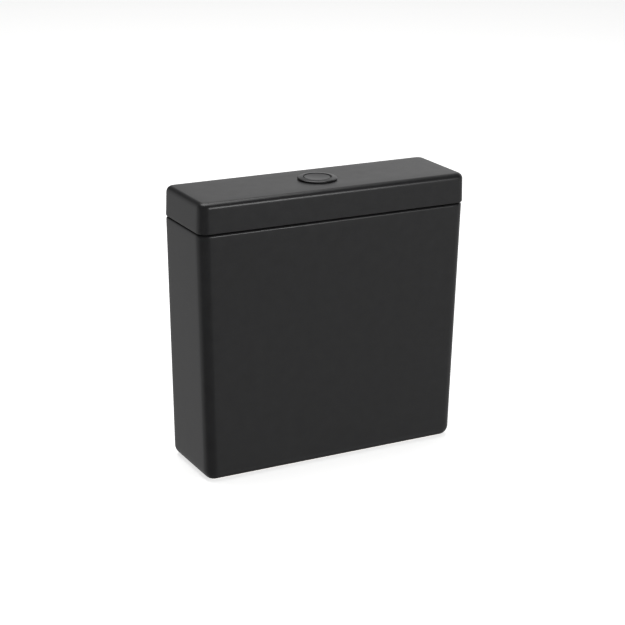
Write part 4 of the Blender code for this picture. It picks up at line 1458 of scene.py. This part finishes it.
    def arm(self) -> Piece:
        """Flat arm with a round hub, which droops to the float rod while the tank is empty."""
        half, hub, tip = self.arm_half, self.arm_hub, -self.arm_length - 0.007
        outline = [
            (hub, -hub, hub * 0.98),
            (hub, hub, hub * 0.98),
            (-0.002, hub, 0.0020),
            (-0.0055, half, 0.0020),
            (tip, half, 0.0014),
            (tip, -half, 0.0014),
            (-0.0055, -half, 0.0020),
            (-0.002, -hub, 0.0020),
        ]
        droop = math.asin(self.arm_drop / self.arm_length)
        axes = upright(self.arm_x, 0, self.arm_z, -droop)
        arm = slab("droop_arm", outline, self.arm_width, 0.0007, axes)
        pin_hole = cross_pin("hole", self.pin_radius + GAP, self.arm_x, self.arm_z, -0.012, 0.012)
        rod_x = self.arm_x - self.arm_length * math.cos(droop)
        rod_hole = rod("rod_hole", 0.0042, 0.248, 0.276, (rod_x, 0.0))
        return boolean(arm, [pin_hole, rod_hole], "DIFFERENCE")

    def dress(self) -> None:
        """Builds the valve on the tank, the float on its own body, and the arm."""
        centre, tail = (self.x, 0.0), self.inlet_radius + GAP
        place_piece(self.riser(), WHITE_POM, "tank", "fill_valve_body")
        low, high = self.tank_floor + GAP, self.flange_foot - GAP
        ring = washer("inlet_washer", tail, self.flange_radius - 0.0005, low, high, centre, 0.0005)
        place_piece(ring, EPDM_RUBBER, "tank", "fill_valve_washer")
        nut = hex_nut("inlet_backnut", tail, self.nut_width, self.nut_foot, self.pocket - GAP, centre)
        place_piece(nut, WHITE_POM, "tank", "fill_valve_backnut")
        place_piece(self.filter(), GREY_PP, "tank", "inlet_filter")
        place_piece(self.head(), WHITE_POM, "tank", "fill_valve_head")
        radius, low = self.head_radius - 0.005, self.riser_top + 0.003
        disc = rod("diaphragm", radius, low, low + 0.003, centre, 0.0006)
        place_piece(disc, EPDM_RUBBER, "tank", "valve_diaphragm")
        place_piece(self.discharge(), GREY_PP, "tank", "discharge_tube")
        reach = self.arm_width / 2 + 0.005
        pin = cross_pin("arm_pin", self.pin_radius, self.arm_x, self.arm_z, -reach, reach)
        place_piece(pin, TURNED_STAINLESS, "tank", "float_arm_pin")
        place_piece(self.cup(), BLUE_PP, "float", "float_cup")
        rod_centre = (self.arm_x - self.arm_length, 0.0)
        place_piece(self.stem(rod_centre), WHITE_POM, "float", "float_rod")
        top = self.arm_z - self.arm_drop - self.arm_half - 0.0013
        nut = hex_nut("stem_nut", self.stem_radius + GAP, 0.008, top - 0.005, top, rod_centre)
        place_piece(nut, TURNED_BRASS, "float", "float_rod_nut")
        place_piece(self.arm(), WHITE_POM, "arm", "float_arm")


# Coupling bolts


@dataclass(frozen=True)
class CouplingKit:
    """Two bolts through the tank's floor, with rubber inside and a brass nut below."""

    x: float = 0.075
    radius: float = 0.004
    point: float = 0.003
    tank_floor: float = 0.040
    pocket: float = 0.026
    seal_radius: float = 0.013
    seal_height: float = 0.0028
    inner_radius: float = 0.011
    inner_height: float = 0.0015
    outer_radius: float = 0.012
    outer_height: float = 0.0018
    nut_width: float = 0.013
    nut_height: float = 0.0065

    def bolt(self, name: str, centre: Span, head: float) -> Piece:
        """Domed slotted head on a threaded shank with a chamfered point."""
        radius, point = self.radius, self.point
        outline = [
            (0, head + 0.0055, 0),
            (0.0050, head + 0.0050, 0.0030),
            (0.0076, head + 0.0028, 0.0020),
            (0.0080, head, 0.0003),
            (radius, head, 0.0002),
            (radius, point + 0.001, 0.0002),
            (radius - 0.001, point, 0.0002),
            (0, point, 0),
        ]
        profile = fillet(outline, closed=False)
        shank = profile[:, 1] < head - 1e-6
        upper, lower = profile[~shank], profile[shank]
        heights = np.arange(head - 0.0002, point + 0.0012, -0.0002)
        middle = np.stack([np.full_like(heights, radius), heights], axis=1)
        lower = lower[lower[:, 1] <= point + 0.0012]
        profile = np.concatenate([upper, middle, lower])
        cut = thread(radius, 0.0006, 0.00125, point + 0.0015, self.tank_floor - 0.004)
        bolt = sweep(name, profile, centre, 64, cut, wrap=False)
        x, y = centre
        near, far = (x - 0.0008, y - 0.009, head + 0.0034), (x + 0.0008, y + 0.009, head + 0.008)
        return boolean(bolt, [cuboid(near, far, 0.0002)], "DIFFERENCE")

    def dress(self) -> None:
        """Builds both bolts with their seals, washers and nuts."""
        shank, floor, pocket = self.radius + GAP, self.tank_floor, self.pocket
        seal_top = floor + self.seal_height
        inner_top = seal_top + GAP + self.inner_height
        outer_foot = pocket - self.outer_height
        nut_top = outer_foot - GAP
        for name, x in (("left", -self.x), ("right", self.x)):
            centre = (x, 0.0)
            bolt = self.bolt(f"slotted_bolt_{name}", centre, inner_top + GAP)
            place_piece(bolt, TURNED_STAINLESS, "tank", f"coupling_bolt_{name}")
            rings = (
                ("cone_seal", "bolt_seal", EPDM_RUBBER, self.seal_radius, floor + GAP, seal_top, 0.0009),
                ("inner_washer", "bolt_washer", TURNED_STAINLESS,
                 self.inner_radius, seal_top + GAP, inner_top, 0.0003),
                ("outer_washer", "clamp_washer", TURNED_STAINLESS,
                 self.outer_radius, outer_foot, pocket - GAP, 0.0003),
            )  # fmt: skip
            for piece, node, finish, outer, low, high, edge in rings:
                ring = washer(f"{piece}_{name}", shank, outer, low, high, centre, edge)
                place_piece(ring, finish, "tank", f"{node}_{name}")
            low = nut_top - self.nut_height
            nut = hex_nut(f"brass_nut_{name}", shank, self.nut_width, low, nut_top, centre)
            place_piece(nut, TURNED_BRASS, "tank", f"coupling_nut_{name}")


ASSEMBLIES = (Tank(), Lid(), ButtonSet(), FlushValve(), FillValve(), CouplingKit())


# Studio


@dataclass(frozen=True)
class Studio:
    """White sweep, soft lights and the camera."""

    yaw: float = 28.195
    pitch: float = 18.539
    roll: float = 0.791
    focal_mm: float = 98.836
    sensor_mm: float = 36.0
    distance: float = 2.17
    aim: tuple[float, float, float] = (0.0, 0.0, 0.2)
    aim_right: float = -0.00375
    aim_up: float = -0.0196
    floor_size: float = 16.0
    floor_glow: float = 0.7

    def camera(self) -> None:
        """Camera at the front left, above the object, turned by yaw, pitch and roll about its aim."""
        yaw, pitch, roll = map(math.radians, (self.yaw, self.pitch, self.roll))
        back = Vector((-math.sin(yaw) * math.cos(pitch), -math.cos(yaw) * math.cos(pitch), math.sin(pitch)))
        right = Vector((math.cos(yaw), -math.sin(yaw), 0.0))
        up = back.cross(right)
        across = right * math.cos(roll) + up * math.sin(roll)
        above = up * math.cos(roll) - right * math.sin(roll)
        data = bpy.data.cameras.new("camera")
        data.lens, data.sensor_width = self.focal_mm, self.sensor_mm
        data.clip_end = 50.0
        obj = bpy.data.objects.new("camera", data)
        bpy.context.scene.collection.objects.link(obj)
        place = Vector(self.aim) + back * self.distance + across * self.aim_right + above * self.aim_up
        obj.matrix_world = Matrix.Translation(place) @ Matrix((across, above, back)).transposed().to_4x4()
        bpy.context.scene.camera = obj

    def floor(self) -> None:
        """Broad white floor, which the gloss of the pieces does not see."""
        half = self.floor_size / 2
        edge = np.array([-half, half])
        x, y = np.meshgrid(edge, edge)
        points = np.stack([x, y, np.full_like(x, -FLOOR_CLEARANCE)], axis=-1).reshape(-1, 3)
        mesh = bpy.data.meshes.new("studio_floor")
        mesh.from_pydata(points, [], [[0, 1, 3, 2]])
        paper = bpy.data.materials.new("white_paper_sweep")
        paper.use_nodes = True
        tree = paper.node_tree
        place = add_node(tree, "ShaderNodeTexCoord").outputs["Object"]
        links = {"Vector": place, "Scale": 300.0, "Detail": 4.0}
        fibre = add_node(tree, "ShaderNodeTexNoise", links).outputs[0]
        tone = add_node(
            tree,
            "ShaderNodeMix",
            {"Factor": fibre, 6: linear("#f6f6f5"), 7: linear("#fafaf9")},
            data_type="RGBA",
        ).outputs[2]
        shader = tree.nodes["Principled BSDF"]
        shader.inputs["Roughness"].default_value = 0.9
        shader.inputs["Emission Strength"].default_value = self.floor_glow
        shader.inputs["Emission Color"].default_value = linear("#ffffff")
        tree.links.new(tone, shader.inputs["Base Color"])
        mesh.materials.append(paper)
        obj = bpy.data.objects.new("studio_floor", mesh)
        bpy.context.scene.collection.objects.link(obj)
        obj.visible_glossy = False

    def softbox(self, name: str, place: Corner, target: Corner, size: Span, power: float) -> None:
        """A rectangular soft light at place that faces target."""
        data = bpy.data.lights.new(name, "AREA")
        data.shape, data.size, data.size_y, data.energy = "RECTANGLE", size[0], size[1], power
        obj = bpy.data.objects.new(name, data)
        bpy.context.scene.collection.objects.link(obj)
        aim = Vector(target) - Vector(place)
        obj.matrix_world = Matrix.Translation(place) @ aim.to_track_quat("-Z", "Y").to_matrix().to_4x4()
        obj.visible_camera = False

    def surroundings(self) -> None:
        """White cove to the camera, and to reflections a soft room: a base level with broad bright panels.

        Each panel adds strength times a smooth step of the angle from its direction.
        """
        world = bpy.data.worlds.new("studio_room")
        world.use_nodes = True
        bpy.context.scene.world = world
        tree = world.node_tree
        direction = add_node(tree, "ShaderNodeTexCoord").outputs["Generated"]
        level: Socket | float = ROOM_LEVEL
        for axis, cosine_far, cosine_near, strength in PANELS:
            unit = Vector(axis).normalized()
            facing = add_node(
                tree, "ShaderNodeVectorMath", {0: direction, 1: unit}, operation="DOT_PRODUCT"
            ).outputs["Value"]
            share = add_node(
                tree,
                "ShaderNodeMapRange",
                {"Value": facing, "From Min": cosine_far, "From Max": cosine_near},
                interpolation_type="SMOOTHSTEP",
            ).outputs[0]
            level = add_node(
                tree, "ShaderNodeMath", {0: share, 1: strength, 2: level}, operation="MULTIPLY_ADD"
            ).outputs[0]
        seen = add_node(tree, "ShaderNodeLightPath").outputs["Is Camera Ray"]
        links = {"Factor": seen, 2: level, 3: 1.0}
        shown = add_node(tree, "ShaderNodeMix", links, data_type="FLOAT").outputs[0]
        tree.links.new(shown, tree.nodes["Background"].inputs["Strength"])
        tree.nodes["Background"].inputs["Color"].default_value = linear("#ffffff")
        bpy.context.scene.view_settings.view_transform = "Standard"

    def build(self) -> None:
        """Sets up the whole studio."""
        self.camera()
        self.floor()
        self.surroundings()
        for lamp in SOFTBOXES:
            self.softbox(*lamp)


ROOM_LEVEL = 0.09
# Reflecting panels: direction, cosine where each starts and where it is full, and its strength.
PANELS = (
    ((0.78, 0.60, 0.05), 0.62, 0.98, 0.62),
    ((-0.62, 0.72, -0.32), 0.62, 0.90, 0.35),
    ((0.76, -0.56, -0.42), 0.62, 0.98, 0.30),
)
# Softboxes: name, place, target, size and power in watts.
SOFTBOXES = (
    ("key_softbox", (0.9, -2.2, 0.9), (0.0, 0.0, 0.2), (0.35, 0.35), 12.0),
    ("overhead_softbox", (0.0, 0.6, 3.0), (0.0, 0.0, 0.0), (2.4, 2.4), 60.0),
)


def dress_remaining(nodes: dict[str, Piece], finishes: dict[str, Finish], record: dict) -> None:
    """Gives every CAD node that still shows the procedural finish of its slot."""
    slots = {part["node"]: part["material_slot"] for part in record["subparts"]}
    for name, obj in nodes.items():
        finish = finishes[slots[name]]
        obj.data.materials.clear()
        obj.data.materials.append(finish.material())


def main() -> None:
    """Loads the frame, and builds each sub-assembly and the studio."""
    logging.basicConfig(level=logging.INFO, format="%(name)s: %(message)s")
    for old in list(bpy.data.objects):
        bpy.data.objects.remove(old)
    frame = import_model()
    finishes = {
        finish.slot: finish
        for finish in (
            GLAZED_CHINA, SATIN_BLACK_ABS, WHITE_POM, GREY_PP, BLUE_PP, EPDM_RUBBER, RED_SILICONE,
            TURNED_STAINLESS, TURNED_BRASS,
        )
    }  # fmt: skip
    dress_remaining(frame["nodes"], finishes, frame["record"])
    for assembly in ASSEMBLIES:
        assembly.dress()
    Studio().build()


if __name__ == "__main__":
    main()
